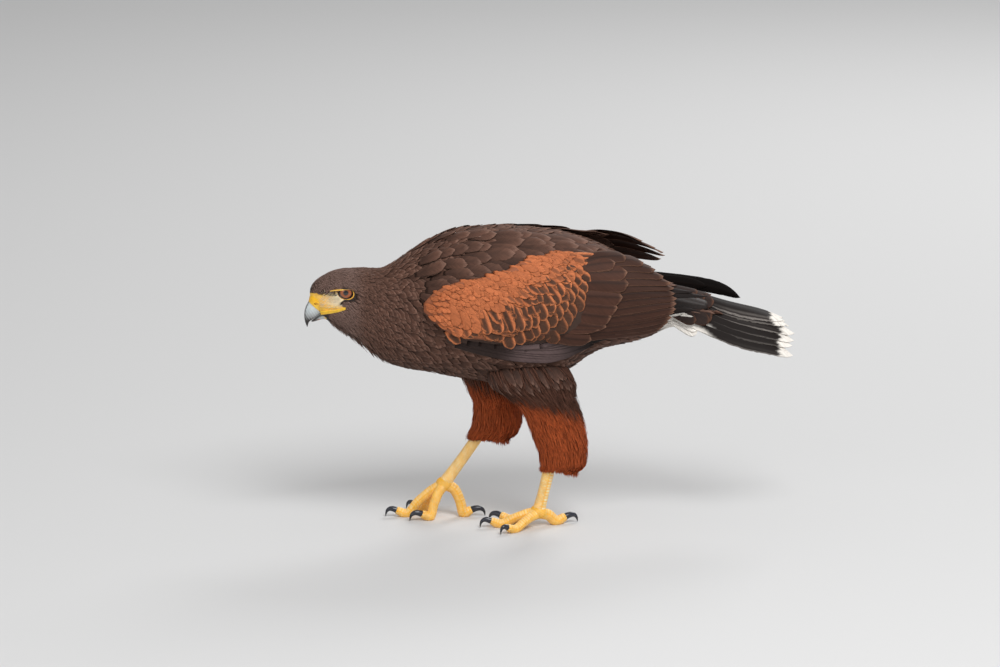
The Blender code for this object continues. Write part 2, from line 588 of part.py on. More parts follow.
def bill_loft(name, stations, first, last, count, sides, grow=0.0, fullness=(1.0, 1.0)):
    """Carry a section from ridge to cutting edge along a bill, between two stations.

    fullness holds a power for the ridge's half and one for the edge's: the lower it is, the flatter the end.
    """
    table = np.array(stations, dtype=float)
    knots = np.arange(len(table), dtype=float)
    where = np.linspace(first, last, count)
    ridge_x, ridge_z, edge_x, edge_z, width = [cubic(knots, table[:, column], where) for column in range(5)]
    middle = np.stack([(ridge_x + edge_x) / 2.0, np.zeros(count), (ridge_z + edge_z) / 2.0], axis=1)
    spoke = np.stack([(ridge_x - edge_x) / 2.0, np.zeros(count), (ridge_z - edge_z) / 2.0], axis=1)
    length = np.linalg.norm(spoke, axis=1, keepdims=True)
    spoke *= (length + grow) / length
    turns = (np.arange(sides) + 0.5) * 2.0 * math.pi / sides
    across = np.zeros((count, sides, 3))
    across[:, :, 1] = np.sin(turns)[None, :] * (width[:, None] + grow)
    reach = np.cos(turns)
    reach = np.sign(reach) * np.abs(reach) ** np.where(reach > 0.0, fullness[0], fullness[1])
    return loft(name, middle[:, None, :] + reach[None, :, None] * spoke[:, None, :] + across)


def build_head():
    """Make the head with its lids and mouth corners, cut to the eyes, cere and lower bill."""
    share = np.linspace(0.0, 1.0, HEAD_RINGS)[1:] ** HEAD_CROWDING
    places = FOREHEAD_X + (NECK_FRONT_X - GAP / 2.0 - FOREHEAD_X) * share
    turns = (np.arange(TRUNK_SIDES) + 0.5) * 2.0 * math.pi / TRUNK_SIDES - math.pi
    head = loft("head", head_relief(trunk_point(places[:, None], turns[None, :])))
    lids = [build_lids(side) for side in (-1, 1)]
    corners = [build_gape(side) for side in (-1, 1)]
    fuse(head, lids + corners)
    cutters = [ellipsoid("socket", (EYE_CENTRE[0], side * EYE_CENTRE[1], EYE_CENTRE[2]),
                         [EYE_RADIUS + GAP] * 3, EYE_SIDES, EYE_RINGS) for side in (-1, 1)]
    cutters.append(bill_loft("cere_room", BILL_STATIONS, 0.0, CERE_END, CERE_RINGS, CERE_SIDES, 2.0 * GAP))
    cutters.append(bill_loft("bill_room", BILL_STATIONS, CERE_END - ROOM_LAP, BILL_ROOM_END, BILL_ROOM_RINGS,
                             BILL_ROOM_SIDES, 2.0 * GAP, BILL_FULLNESS))
    cutters.append(bill_loft("mandible_room", MANDIBLE_STATIONS, 0.0, MANDIBLE_ROOM_END, MANDIBLE_RINGS,
                             MANDIBLE_SIDES, 2.0 * GAP, MANDIBLE_FULLNESS))
    for room in cutters[-3:]:
        room.location.x = GAP * MM
    return cut(head, cutters)


def build_lids(side):
    """Make the rim of the lids round one eye, as a closed almond ring on the head's surface."""
    turns = np.arange(LID_COUNT) * 2.0 * math.pi / LID_COUNT
    reach_x = np.where(np.cos(turns) < 0.0, LID_FRONT, LID_REAR)
    reach_z = np.where(np.sin(turns) > 0.0, LID_UP, LID_DOWN)
    x = EYE_CENTRE[0] + reach_x * np.cos(turns)
    z = EYE_CENTRE[2] + reach_z * np.sin(turns) - LID_SLOPE * (x - EYE_CENTRE[0]) * (np.cos(turns) > 0.0)
    y = head_surface_y(x, z)
    centres = np.stack([x, side * y, z], axis=1)
    tangents = np.roll(centres, -1, axis=0) - np.roll(centres, 1, axis=0)
    tangents /= np.linalg.norm(tangents, axis=1, keepdims=True)
    out = np.cross(tangents, np.cross(np.broadcast_to((0.0, 1.0, 0.0), tangents.shape), tangents))
    out /= np.linalg.norm(out, axis=1, keepdims=True)
    level = np.cross(out, tangents)
    spokes = np.arange(LID_SIDES) * 2.0 * math.pi / LID_SIDES
    rings = centres[:, None, :] + LID_RADIUS * (np.cos(spokes)[None, :, None] * out[:, None, :]
                                                + np.sin(spokes)[None, :, None] * level[:, None, :])
    faces = []
    for ring in range(LID_COUNT):
        start = ring * LID_SIDES
        after = (ring + 1) % LID_COUNT * LID_SIDES
        for spoke in range(LID_SIDES):
            beside = (spoke + 1) % LID_SIDES
            faces.append((start + spoke, start + beside, after + beside, after + spoke))
    return make_object("lids", rings.reshape(-1, 3), faces)


def build_gape(side):
    """Make the raised yellow corner of the mouth on one side of the head."""
    line = path_points(GAPE_LINE, GAPE_STATIONS)
    y = head_surface_y(line[:, 0], line[:, 1]) - GAPE_SINK
    radii = np.linspace(GAPE_RADIUS, GAPE_TAPER * GAPE_RADIUS, GAPE_STATIONS)
    stations = np.stack([line[:, 0], side * y, line[:, 1], radii], axis=1)
    return tube("gape", stations, GAPE_SIDES, GAPE_SIDES)


def build_bill():
    """Make the cere with its nostrils, the hooked upper bill and the lower bill."""
    cere = bill_loft("cere", BILL_STATIONS, 0.0, CERE_END - BILL_SPLIT, CERE_RINGS, CERE_SIDES)
    nostrils = [ellipsoid("nostril", (NOSTRIL[0], side * NOSTRIL[1], NOSTRIL[2]), NOSTRIL_SIZE, NOSTRIL_SIDES,
                          NOSTRIL_RINGS) for side in (-1, 1)]
    cut(cere, nostrils)
    upper = bill_loft("bill_upper", BILL_STATIONS, CERE_END + BILL_SPLIT, len(BILL_STATIONS) - 1.0,
                      BILL_RINGS, BILL_SIDES, fullness=BILL_FULLNESS)
    lower = bill_loft("bill_lower", MANDIBLE_STATIONS, 0.0, len(MANDIBLE_STATIONS) - 1.0, MANDIBLE_RINGS,
                      MANDIBLE_SIDES, fullness=MANDIBLE_FULLNESS)
    return cere, upper, lower


def panel(name, upper, lower, base, thickness, side, rows, columns):
    """Make a thin crowned slab on the sheath between an upper and a lower side-view edge."""
    first, last = upper[0][0], upper[-1][0]
    x = first + (last - first) * np.linspace(0.0, 1.0, rows)
    across = (1.0 - np.cos(np.linspace(0.0, math.pi, columns))) / 2.0
    top = sheath_angle(x, smooth_curve(upper, x), side)
    bottom = sheath_angle(x, smooth_curve(lower, x), side)
    turn = top[:, None] + (bottom - top)[:, None] * across[None, :]
    place = np.broadcast_to(x[:, None], turn.shape)
    end = np.minimum(1.0, PANEL_END + PANEL_RISE * np.minimum(x - first, last - x) / (last - first))
    crown = PANEL_EDGE + (1.0 - PANEL_EDGE) * np.sqrt(np.clip(1.0 - (2.0 * across - 1.0) ** 4, 0.0, 1.0))
    depth = np.broadcast_to(thickness, x.shape)[:, None] * end[:, None] * crown[None, :]

    def surface(near, angle):
        return sheath_point(near, angle, side)

    inner = raised(surface, place, turn, np.full(turn.shape, base), side)
    outer = raised(surface, place, turn, base + depth, side)
    return plate(name, outer, inner)


def wing_vanes(feathers, side, heights, shape, shares, tilt):
    """Make a tier of feathers on one wing from their side-view roots and tips."""
    def surface(x, angle):
        return sheath_point(x, angle, side)

    tier = []
    for root_x, root_z, tip_x, tip_z, half in feathers:
        tip_x += random.uniform(-TIP_VARIATION, TIP_VARIATION)
        half *= random.uniform(1.0 - WIDTH_VARIATION, 1.0 + WIDTH_VARIATION)
        root = (root_x, float(sheath_angle(root_x, root_z, side)))
        tip = (tip_x, float(sheath_angle(tip_x, tip_z + wing_lift(tip_x, side), side)))
        tier.append(vane(surface, side, root, tip, half, heights, shape, shares, tilt))
    return tier


def wing_lift(x, side):
    """Give how much higher the right wing lies than the left at a place along it."""
    return float(smooth_curve(RIGHT_LIFT, x)) if side > 0 else 0.0


def secondaries():
    """Give root and tip of each secondary, fanned evenly from the top one to the lowest."""
    order = np.linspace(0.0, 1.0, SECONDARY_COUNT)
    roots = np.array(SECONDARY_ROOTS)
    tips = np.array(SECONDARY_TIPS)
    knots = np.linspace(0.0, 1.0, len(tips))
    rows = []
    for place in order:
        root = roots[0] + (roots[1] - roots[0]) * place
        tip = [float(cubic(knots, tips[:, column], place)) for column in range(2)]
        rows.append((root[0], root[1], tip[0], tip[1], SECONDARY_HALF))
    return tuple(rows)


def build_wing(side):
    """Make the folded arm and hand of one wing, each with its tiers of feathers."""
    word = "left" if side < 0 else "right"
    places = np.linspace(ARM_UPPER[0][0], ARM_UPPER[-1][0], ARM_ROWS)
    arm = panel("wing_%s_arm" % word, ARM_UPPER, ARM_LOWER, ARM_BASE, smooth_curve(ARM_THICKNESS, places),
                side, ARM_ROWS, ARM_COLUMNS)
    flight = TERTIALS + secondaries()
    feathers = wing_vanes(flight, side, SECONDARY_HEIGHTS, LONG_VANE, LONG_SHARES, SHINGLE)
    feathers += wing_vanes(GREATER_COVERTS, side, GREATER_HEIGHTS, SHORT_VANE, SHORT_SHARES, SHINGLE)
    feathers += wing_vanes(MEDIAN_COVERTS, side, MEDIAN_HEIGHTS, SHORT_VANE, SHORT_SHARES, SHINGLE)
    fuse(arm, feathers)
    hand = panel("wing_%s_hand" % word, HAND_UPPER, HAND_LOWER, GAP, HAND_THICKNESS, side, HAND_ROWS,
                 HAND_COLUMNS)
    long_feathers = PRIMARIES if side < 0 else LONG_PRIMARIES
    vanes = wing_vanes(long_feathers, side, PRIMARY_HEIGHTS, LONG_VANE, LONG_SHARES, PRIMARY_SHINGLE)
    fuse(hand, vanes)
    return [arm, hand]


def tail_point(x, across):
    """Place points on the arched fan of the tail; across runs from -1 to 1."""
    half = smooth_curve(TAIL_HALF, x)
    z = smooth_curve(TAIL_CROWN, x) - smooth_curve(TAIL_DROOP, x) * np.abs(across) ** TAIL_ARCH
    return np.stack(np.broadcast_arrays(x, half * across, z), axis=-1)


def build_tail():
    """Make the tail: its root on the rump, twelve overlapping feathers, and coverts over and under them."""
    rings = []
    turns = (np.arange(RUMP_SIDES) + 0.5) * 2.0 * math.pi / RUMP_SIDES - math.pi
    for share in np.linspace(0.0, 1.0, RUMP_RINGS):
        x = RUMP_X + GAP + (TAIL_BASE_X - RUMP_X) * share
        ring = trunk_point(np.full(len(turns), x), turns)
        middle = np.array([x, 0.0, smooth_curve(TAIL_CROWN, x) - RUMP_DEPTH])
        rings.append(middle + (ring - middle) * (1.0 - RUMP_TAPER * share ** 2))
    root = loft("tail", np.array(rings))
    feathers = []
    for side in (-1, 1):
        for index in range(FEATHERS_PER_SIDE):
            place = side * TAIL_SPACING * (index + 0.5)
            height = TAIL_MIDDLE_RISE if side > 0 and index == 0 else 0.0
            tip_x = TAIL_TIP_X - TAIL_STEP * (FEATHERS_PER_SIDE - 1 - index) - TAIL_NOTCH * (index == 0)
            feathers.append(vane(tail_point, 1, (TAIL_ROOT_X, place), (tip_x, place), TAIL_VANE_HALF,
                                 (height - TAIL_SINK, height), TAIL_VANE, TAIL_SHARES, side * TAIL_SHINGLE))
    for root_x, start, tip_x, end, half in TAIL_COVERTS:
        feathers.append(vane(tail_point, 1, (root_x, start), (tip_x, end), half, TAIL_COVERT_HEIGHTS,
                             SHORT_VANE, SHORT_SHARES, math.copysign(1.0, start) * TAIL_SHINGLE))
    for root_x, start, tip_x, end, half in UNDERTAIL_COVERTS:
        feathers.append(vane(tail_point, 1, (root_x, start), (tip_x, end), half, UNDERTAIL_HEIGHTS,
                             SHORT_VANE, SHORT_SHARES))
    return fuse(root, feathers)


def build_torso():
    """Make the trunk with the scapulars that lie over its shoulders."""
    torso = trunk_length("torso", NECK_REAR_X + GAP / 2.0, RUMP_X, TORSO_RINGS, TRUNK_SIDES)
    feathers = []
    for side in (-1, 1):
        def surface(x, angle, side=side):
            return trunk_point(x, angle * side)

        for root_x, root_z, tip_x, tip_z, half in SCAPULARS:
            root = (root_x, float(trunk_angle(root_x, root_z)))
            tip = (tip_x, float(trunk_angle(tip_x, tip_z)))
            feathers.append(vane(surface, side, root, tip, half, SCAPULAR_HEIGHTS, SHORT_VANE,
                                 SHORT_SHARES, SHINGLE))
    return fuse(torso, feathers)


def trunk_angle(x, z):
    """Give the angle on the upper trunk where its side view shows the place (x, z)."""
    top = smooth_curve(BACK_LINE, x)
    waist = smooth_curve(WAIST_LINE, x)
    return np.arccos(np.clip((z - waist) / (top - waist), 0.0, 1.0) ** (TRUNK_POWER / 2.0))


def thigh_point(stations, z, turn):
    """Place points round one thigh at a height; turn 0 faces backwards."""
    table = np.array(stations, dtype=float)
    centre_x, centre_y, length, breadth = [cubic(-table[:, 0], table[:, column], -np.asarray(z))
                                           for column in range(1, 5)]
    x = centre_x + length * np.cos(turn)
    y = centre_y + breadth * np.sin(turn)
    return np.stack(np.broadcast_arrays(x, y, z), axis=-1)


def build_thigh(side, stations, shank):
    """Make one feathered thigh, cut clear of the trunk and of the top of its shank."""
    word = "left" if side < 0 else "right"
    levels = path_points(stations, THIGH_RINGS)[:, 0]
    turns = (np.arange(THIGH_SIDES) + 0.5) * 2.0 * math.pi / THIGH_SIDES

    def surface(z, turn):
        return thigh_point(stations, z, turn)

    thigh = loft("thigh_%s" % word, surface(levels[:, None], turns[None, :]))
    low = stations[-1][0]
    locks = []
    for root, tip, half, turns in LOCK_TIERS:
        for turn in turns:
            locks.append(vane(surface, -1, (low + root, side * turn), (low + tip, side * turn), half,
                              LOCK_HEIGHTS, LOCK_VANE, TAIL_SHARES, LOCK_TILT))
    fuse(thigh, locks)
    room = trunk_length("trunk_room", NECK_REAR_X, RUMP_X, ROOM_RINGS, ROOM_SIDES, GAP)
    shank_room = tube("shank_room", shank, SHANK_SIDES, SHANK_RINGS, GAP)
    return cut(thigh, [room, shank_room])


def build_foot(side, shank, toes):
    """Make one shank with its four toes as one solid, flat where it stands, and its claws."""
    word = "left" if side < 0 else "right"
    leg = tube("foot_%s" % word, shank, SHANK_SIDES, SHANK_RINGS)
    digits = [tube(name, stations, TOE_SIDES, TOE_RINGS) for name, stations in toes.items()]
    for digit in digits:
        for vertex in digit.data.vertices:
            vertex.co.z = max(vertex.co.z, 0.0)
    ball = ellipsoid("ball", shank[-1][:3], BALL_RADII, BALL_SIDES, BALL_RINGS)
    fuse(leg, digits + [ball])
    claws = [build_claw(word, name, stations) for name, stations in toes.items()]
    return [leg] + claws


def build_claw(word, name, stations):
    """Make one curved claw that grows from its toe's end and comes down to the floor."""
    end, before = np.array(stations[-1]), np.array(stations[-2])
    lead = end[:2] - before[:2]
    lead /= np.linalg.norm(lead)
    length = CLAW_LENGTH[name]
    drop = end[2] - CLAW_TIP_Z
    path = path_points(stations, TOE_RINGS)
    out = path[-1, :3] - path[-2, :3]
    out /= np.linalg.norm(out)
    base = end[:3] + out * GAP
    points = [(*base, end[3] * CLAW_ROOT)]
    for share, radius in CLAW_TAPER:
        forward = length * CLAW_REACH * math.sin(share * math.pi / 2.0)
        height = base[2] + CLAW_ARCH * math.sin(share * math.pi) - drop * share ** 2
        points.append((base[0] + lead[0] * forward, base[1] + lead[1] * forward, height, end[3] * radius))
    return tube("claw_%s_%s" % (word, name), points, CLAW_SIDES, CLAW_RINGS, start=out)


def finish(pieces, material):
    """Give pieces their material, smooth shading and the model's collection."""
    for piece in pieces:
        piece.data.materials.clear()
        piece.data.materials.append(material)
        piece.data.shade_smooth()
        piece.data.set_sharp_from_angle(angle=math.radians(SHARP_DEGREES))


def centre_on_floor(pieces):
    """Move every piece so that the whole box is centred on the origin, standing on the floor."""
    corners = np.array([piece.matrix_world @ vertex.co for piece in pieces for vertex in piece.data.vertices])
    low, high = corners.min(axis=0), corners.max(axis=0)
    shift = Vector((-(low[0] + high[0]) / 2.0, -(low[1] + high[1]) / 2.0, -low[2]))
    for piece in pieces:
        for vertex in piece.data.vertices:
            vertex.co = vertex.co + shift


def build_hawk():
    """Build every node of the bird."""
    clear_scene()
    random.seed(SEED)
    neck = trunk_length("neck", NECK_FRONT_X + GAP / 2.0, NECK_REAR_X - GAP / 2.0, NECK_RINGS, TRUNK_SIDES)
    plumage = [build_head(), neck, build_torso()]
    cere, upper, lower = build_bill()
    eyes = [ellipsoid("eye_%s" % word, (EYE_CENTRE[0], side * EYE_CENTRE[1], EYE_CENTRE[2]),
                      [EYE_RADIUS] * 3, EYE_SIDES, EYE_RINGS) for word, side in (("left", -1), ("right", 1))]
    wings = build_wing(-1) + build_wing(1)
    tail = build_tail()
    thighs = [build_thigh(-1, LEFT_THIGH, LEFT_SHANK), build_thigh(1, RIGHT_THIGH, RIGHT_SHANK)]
    left = build_foot(-1, LEFT_SHANK, LEFT_TOES)
    right = build_foot(1, RIGHT_SHANK, RIGHT_TOES)
    finish(plumage, make_material("plumage"))
    finish(thighs, make_material("trousers"))
    finish([wings[0], wings[2]], make_material("shoulder"))
    finish([wings[1], wings[3], tail], make_material("flight"))
    finish([cere], make_material("cere"))
    finish([upper, lower], make_material("horn"))
    finish(eyes, make_material("eye"))
    finish([left[0], right[0]], make_material("legs"))
    finish(left[1:] + right[1:], make_material("claws"))
    centre_on_floor(plumage + [cere, upper, lower, tail] + eyes + wings + thighs + left + right)


build_hawk()
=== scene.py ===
"""Looks of a walking Harris's hawk: skin, plumage, bill, eyes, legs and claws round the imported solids.

The bird faces -X, its left side is -Y and the floor is Z = 0. Shapes are worked out in millimetres from
the same named stations as the solids, and become metres, moved to the frame, where a mesh is written.
"""
import json
import logging
import math
from collections.abc import Callable
from dataclasses import dataclass, field, replace
from enum import Enum
from functools import partial

import bpy
import numpy as np
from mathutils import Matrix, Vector
from numpy.typing import NDArray

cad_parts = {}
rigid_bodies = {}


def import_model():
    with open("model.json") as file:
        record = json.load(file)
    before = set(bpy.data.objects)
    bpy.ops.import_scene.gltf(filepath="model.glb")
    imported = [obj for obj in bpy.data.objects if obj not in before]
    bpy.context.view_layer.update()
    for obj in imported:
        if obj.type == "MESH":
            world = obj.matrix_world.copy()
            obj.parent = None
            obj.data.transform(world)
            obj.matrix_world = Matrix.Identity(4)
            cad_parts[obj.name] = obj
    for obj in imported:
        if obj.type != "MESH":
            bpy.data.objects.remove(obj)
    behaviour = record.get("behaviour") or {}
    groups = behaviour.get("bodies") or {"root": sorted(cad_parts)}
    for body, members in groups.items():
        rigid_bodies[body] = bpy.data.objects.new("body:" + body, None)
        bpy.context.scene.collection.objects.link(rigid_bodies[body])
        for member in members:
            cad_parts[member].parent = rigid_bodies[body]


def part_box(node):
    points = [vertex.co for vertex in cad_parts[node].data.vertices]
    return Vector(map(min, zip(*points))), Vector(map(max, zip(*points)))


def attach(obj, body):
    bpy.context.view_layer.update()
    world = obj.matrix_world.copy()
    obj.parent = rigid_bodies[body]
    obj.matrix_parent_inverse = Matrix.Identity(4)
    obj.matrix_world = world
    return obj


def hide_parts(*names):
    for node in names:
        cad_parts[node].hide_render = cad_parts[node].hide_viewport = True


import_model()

Array = NDArray[np.float64]
Stations = tuple[tuple[float, ...], ...]
Rng = np.random.Generator
Piece = bpy.types.Object
LOG = logging.getLogger("hawk")

MM = 0.001
SEED = 11
PHOTO_WIDTH = 1000
PHOTO_PIXEL_MM = 1.05
PHOTO_CENTRE_MM = (-51.6, 0.0, 204.2)
CAMERA_AZIMUTH = 5.0
CAMERA_ELEVATION = 13.0
CAMERA_DISTANCE = 6.0
SENSOR_MM = 36.0
FLOOR_HALF = 6.0
CLAW_GAP_MM = 0.3
PROBE_MM = 0.4
PROBE_TURN = 0.008
BAKE_PATCH = 0.003
BARB_OFFSET = 20.0
BARB_STEP = 900.0
LEAST_TINT = 0.2
HORN_IOR = 1.45
SCATTER_MM = 2.0
SHAFT_WIDTH = 0.05
EYE_CENTRE = (-213.8, 12.4, 255.4)
EYE_FRONT, EYE_REAR, EYE_TOP, EYE_LOW, EYE_SLOPE = 10.2, 7.9, 5.2, 7, 0.12


class Side(Enum):
    """A side of the bird, as the sign of its Y."""

    LEFT = -1
    RIGHT = 1

    @property
    def word(self) -> str:
        """The side's name in piece names."""
        return self.name.lower()


def linear(red: float, green: float, blue: float) -> Array:
    """Turn an 8-bit sRGB colour into linear light: ((c + 0.055) / 1.055) to the power 2.4."""
    shade = np.array((red, green, blue)) / 255.0
    return np.where(shade <= 0.04045, shade / 12.92, ((shade + 0.055) / 1.055) ** 2.4)


def ramp(low: float, high: float, value: Array) -> Array:
    """Rise smoothly from 0 at low to 1 at high: 3t^2 - 2t^3 of the clipped share t."""
    share = np.clip((np.asarray(value) - low) / (high - low), 0, 1)
    return share * share * (3 - 2 * share)


def mix(first: Array, second: Array, share: Array) -> Array:
    """Blend two colours by a share that has one axis less than they do."""
    part = np.asarray(share)[..., None]
    return first * (1 - part) + second * part


def unit(vectors: Array) -> Array:
    """Scale vectors to length one."""
    return vectors / np.maximum(np.linalg.norm(vectors, axis=-1, keepdims=True), 1e-9)


def around(count: int) -> Array:
    """Give evenly spaced turns once round, from nought."""
    return np.arange(count) * 2.0 * math.pi / count


def stack(*parts: Array | float) -> Array:
    """Join numbers or arrays that broadcast together along a new last axis."""
    return np.stack(np.broadcast_arrays(*parts), axis=-1)


def run_along(steps: Array) -> Array:
    """Give the running sum of steps, from nought."""
    return np.concatenate([[0], np.cumsum(steps)])


def cubic(knots: Array, values: Array, where: Array) -> Array:
    """Read a monotone cubic Hermite curve through values at knots, held flat past both ends.

    Each inner slope is the harmonic mean of its two chords, or nought where they differ in sign.
    """
    steps = np.diff(knots)
    slopes = np.diff(values) / steps
    joined = np.zeros(len(values))
    same_way = slopes[:-1] * slopes[1:] > 0
    mean = 2 * slopes[:-1] * slopes[1:] / np.where(same_way, slopes[:-1] + slopes[1:], 1)
    joined[1:-1] = np.where(same_way, mean, 0)
    joined[0], joined[-1] = slopes[0], slopes[-1]
    where = np.clip(where, knots[0], knots[-1])
    index = np.clip(np.searchsorted(knots, where) - 1, 0, len(knots) - 2)
    step = steps[index]
    part = (where - knots[index]) / step
    rise = part * part * (3 - 2 * part)
    lead = part * (1 - part) ** 2 * step
    trail = part * part * (part - 1) * step
    return values[index] * (1 - rise) + values[index + 1] * rise + joined[index] * lead + joined[index + 1] * trail


def along(stations: Stations, place: Array) -> Array:
    """Read a curve through (place, value) stations with the monotone cubic."""
    table = np.array(stations, dtype=float)
    return cubic(table[:, 0], table[:, 1], np.asarray(place, dtype=float))


def path_points(stations: Stations, count: int) -> Array:
    """Read count rows along a smooth path through stations of any number of values."""
    table = np.array(stations, dtype=float)
    knots = np.arange(len(table), dtype=float)
    where = np.linspace(0, knots[-1], count)
    return np.stack([cubic(knots, table[:, column], where) for column in range(table.shape[1])], axis=1)


@dataclass(frozen=True)
class HawkForm:
    """The bird's form in millimetres: side-view lines, widths and the relief of its head."""

    forehead_x: float = -251.5
    back: Stations = (
        (-251.5, 252), (-249.5, 259), (-246, 263.6), (-236, 270.4), (-225, 275), (-213, 276.8), (-196, 277),
        (-178, 275.8), (-162, 282.5), (-146, 293.5), (-125, 305), (-104, 313.6), (-80, 318.2), (-50, 319),
        (-20, 316.5), (12, 312), (42, 303), (72, 289), (100, 271), (127, 255), (170, 240.5))
    belly: Stations = (
        (-251.5, 252), (-249.8, 243), (-246, 236), (-241, 229), (-236, 224), (-226, 218), (-213, 209.6),
        (-199, 199.8), (-186, 188.6), (-168, 176.2), (-150, 170.5), (-125, 166.4), (-100, 161.6), (-75, 157),
        (-45, 153.5), (-10, 156), (10, 161.5), (25, 171), (40, 181.5), (54, 188), (70, 191.5), (95, 196),
        (112, 202.5), (127, 212), (170, 222))
    waist: Stations = (
        (-251.5, 251.5), (-245, 249), (-228, 250), (-210, 247), (-190, 241), (-165, 235), (-130, 231), (-60, 226),
        (0, 224), (50, 226), (90, 231), (127, 236), (170, 232))
    width: Stations = (
        (-251.5, 0), (-250, 4.4), (-247, 7.4), (-243, 10), (-236, 13.6), (-228, 17.2), (-220, 20.2), (-211, 22.2),
        (-200, 24.4), (-188, 26.8), (-172, 30.5), (-156, 37), (-140, 43.5), (-120, 49.5), (-95, 53.5), (-60, 55.5),
        (-15, 54.5), (25, 50), (60, 42.5), (90, 34), (112, 27), (127, 23), (170, 21))
    power: float = 2.25
    relief: Stations = (
        (-217, 263, 11, 3.4, 1.9), (-231, 247.5, 8, 6, -1.8), (-213.8, 255, 8.5, 6, -1.2), (-208, 238, 12, 8, 0.9))
    rise: Stations = ((-150, 0.6), (30, 0.6), (60, 4), (92, 9), (128, 11), (205, 8))
    flare: Stations = ((-150, 0.6), (20, 0.6), (60, 7), (92, 13), (128, 18), (205, 15))
    right_lift: Stations = ((-60, 0), (20, 3), (70, 9), (120, 10), (205, 6))

    def read(self, stations: Stations, x: Array) -> Array:
        """Read a side-view line with a cubic in the root of the distance behind the forehead."""
        table = np.array(stations, dtype=float)
        knots = np.sqrt(np.maximum(table[:, 0] - self.forehead_x, 0))
        return cubic(knots, table[:, 1], np.sqrt(np.maximum(np.asarray(x, dtype=float) - self.forehead_x, 0)))

    def oval(self, x: Array, top: Array, waist: Array, low: Array, width: Array, turn: Array) -> Array:
        """Place points on an upright superellipse whose upper and lower halves differ in height."""
        cosine, sine = np.cos(turn), np.sin(turn)
        flat = 2 / self.power
        reach = np.where(cosine > 0, top - waist, waist - low)
        return stack(x, width * np.sign(sine) * np.abs(sine) ** flat,
                     waist + reach * np.sign(cosine) * np.abs(cosine) ** flat)

    def turn_at(self, z: Array, top: Array, waist: Array, low: Array, _: Array) -> Array:
        """Give the turn on such a superellipse at which the side view shows the height z."""
        up = z > waist
        reach = np.where(up, (z - waist) / (top - waist), (waist - z) / (waist - low))
        angle = np.arccos(np.clip(reach, 0, 1) ** (self.power / 2))
        return np.where(up, angle, math.pi - angle)

    def trunk_values(self, x: Array) -> tuple[Array, ...]:
        """Give top, waist, low and half width of the trunk."""
        return tuple(self.read(line, x) for line in (self.back, self.waist, self.belly, self.width))

    def trunk(self, x: Array, turn: Array) -> Array:
        """Place points on head, neck and trunk; turn 0 is the back and pi the belly, positive to the right."""
        return self.oval(x, *self.trunk_values(x), turn)

    def head(self, x: Array, turn: Array) -> Array:
        """Place points on the trunk with brows and cheeks raised and the lores hollowed, as Gaussian bumps."""
        points = self.trunk(x, turn)
        y, z = points[..., 1], points[..., 2]
        height = np.zeros_like(y)
        for centre_x, centre_z, reach_x, reach_z, rise in self.relief:
            height += rise * np.exp(-((points[..., 0] - centre_x) / reach_x) ** 2 - ((z - centre_z) / reach_z) ** 2)
        side = np.clip(np.abs(y) / 9, 0, 1)
        return points + stack(0, np.sign(y) * height * side, 0)

    def head_turn(self, x: Array, z: Array) -> Array:
        """Give the turn at which the side view of the trunk shows the place (x, z)."""
        return self.turn_at(z, *self.trunk_values(x))

    def lift(self, x: Array, side: Side) -> Array:
        """Give how much higher the right wing lies than the left one at a place along it."""
        return self.read(self.right_lift, x) if side is Side.RIGHT else 0 * np.asarray(x)

    def sheath_values(self, x: Array, side: Side) -> tuple[Array, ...]:
        """Give top, waist, low and half width of the sheath that a folded wing lies on."""
        top, waist, low, width = self.trunk_values(x)
        lift = self.lift(x, side)
        return top + self.read(self.rise, x) + lift, waist + 0.5 * lift, low - 0.6, width + self.read(self.flare, x)

    def sheath_turn(self, x: Array, z: Array, side: Side) -> Array:
        """Give the turn on the sheath at which the side view shows the place (x, z)."""
        return self.turn_at(z, *self.sheath_values(x, side))

    def sheath(self, x: Array, turn: Array, side: Side) -> Array:
        """Place points on the sheath of one wing."""
        return self.oval(x, *self.sheath_values(x, side), turn * side.value)


FORM = HawkForm()


@dataclass(frozen=True)
class Surface:
    """A surface of two parameters, the first in millimetres along the bird or limb, with its unwrap."""

    place: Callable[[Array, Array], Array]
    outward: int
    first_span: tuple[float, float]
    second_span: tuple[float, float]

    def changes(self, first: Array, second: Array) -> tuple[Array, Array]:
        """Give how a place changes over a small step each way in the first and in the second parameter."""
        return (self.place(first + PROBE_MM, second) - self.place(first - PROBE_MM, second),
                self.place(first, second + PROBE_TURN) - self.place(first, second - PROBE_TURN))

    def normal(self, first: Array, second: Array) -> Array:
        """Give outward unit normals: the cross product of the two changes."""
        return unit(np.cross(*self.changes(first, second)) * self.outward)

    def scales(self, first: Array, second: Array) -> tuple[Array, Array]:
        """Give millimetres travelled for each unit of the first and of the second parameter."""
        one, two = self.changes(first, second)
        return np.linalg.norm(one, axis=-1) / (2 * PROBE_MM), np.linalg.norm(two, axis=-1) / (2 * PROBE_TURN)

    def raised(self, first: Array, second: Array, height: Array) -> Array:
        """Place points height above the surface along its normal."""
        return self.place(first, second) + self.normal(first, second) * np.asarray(height)[..., None]

    def unwrap(self, first: Array, second: Array) -> Array:
        """Give the place of a point on a flat unwrap of the surface, from 0 to 1 both ways."""
        flat = [(value - low) / (high - low)
                for value, (low, high) in ((first, self.first_span), (second, self.second_span))]
        return np.clip(stack(*flat), 0, 1) * 0.98 + 0.01


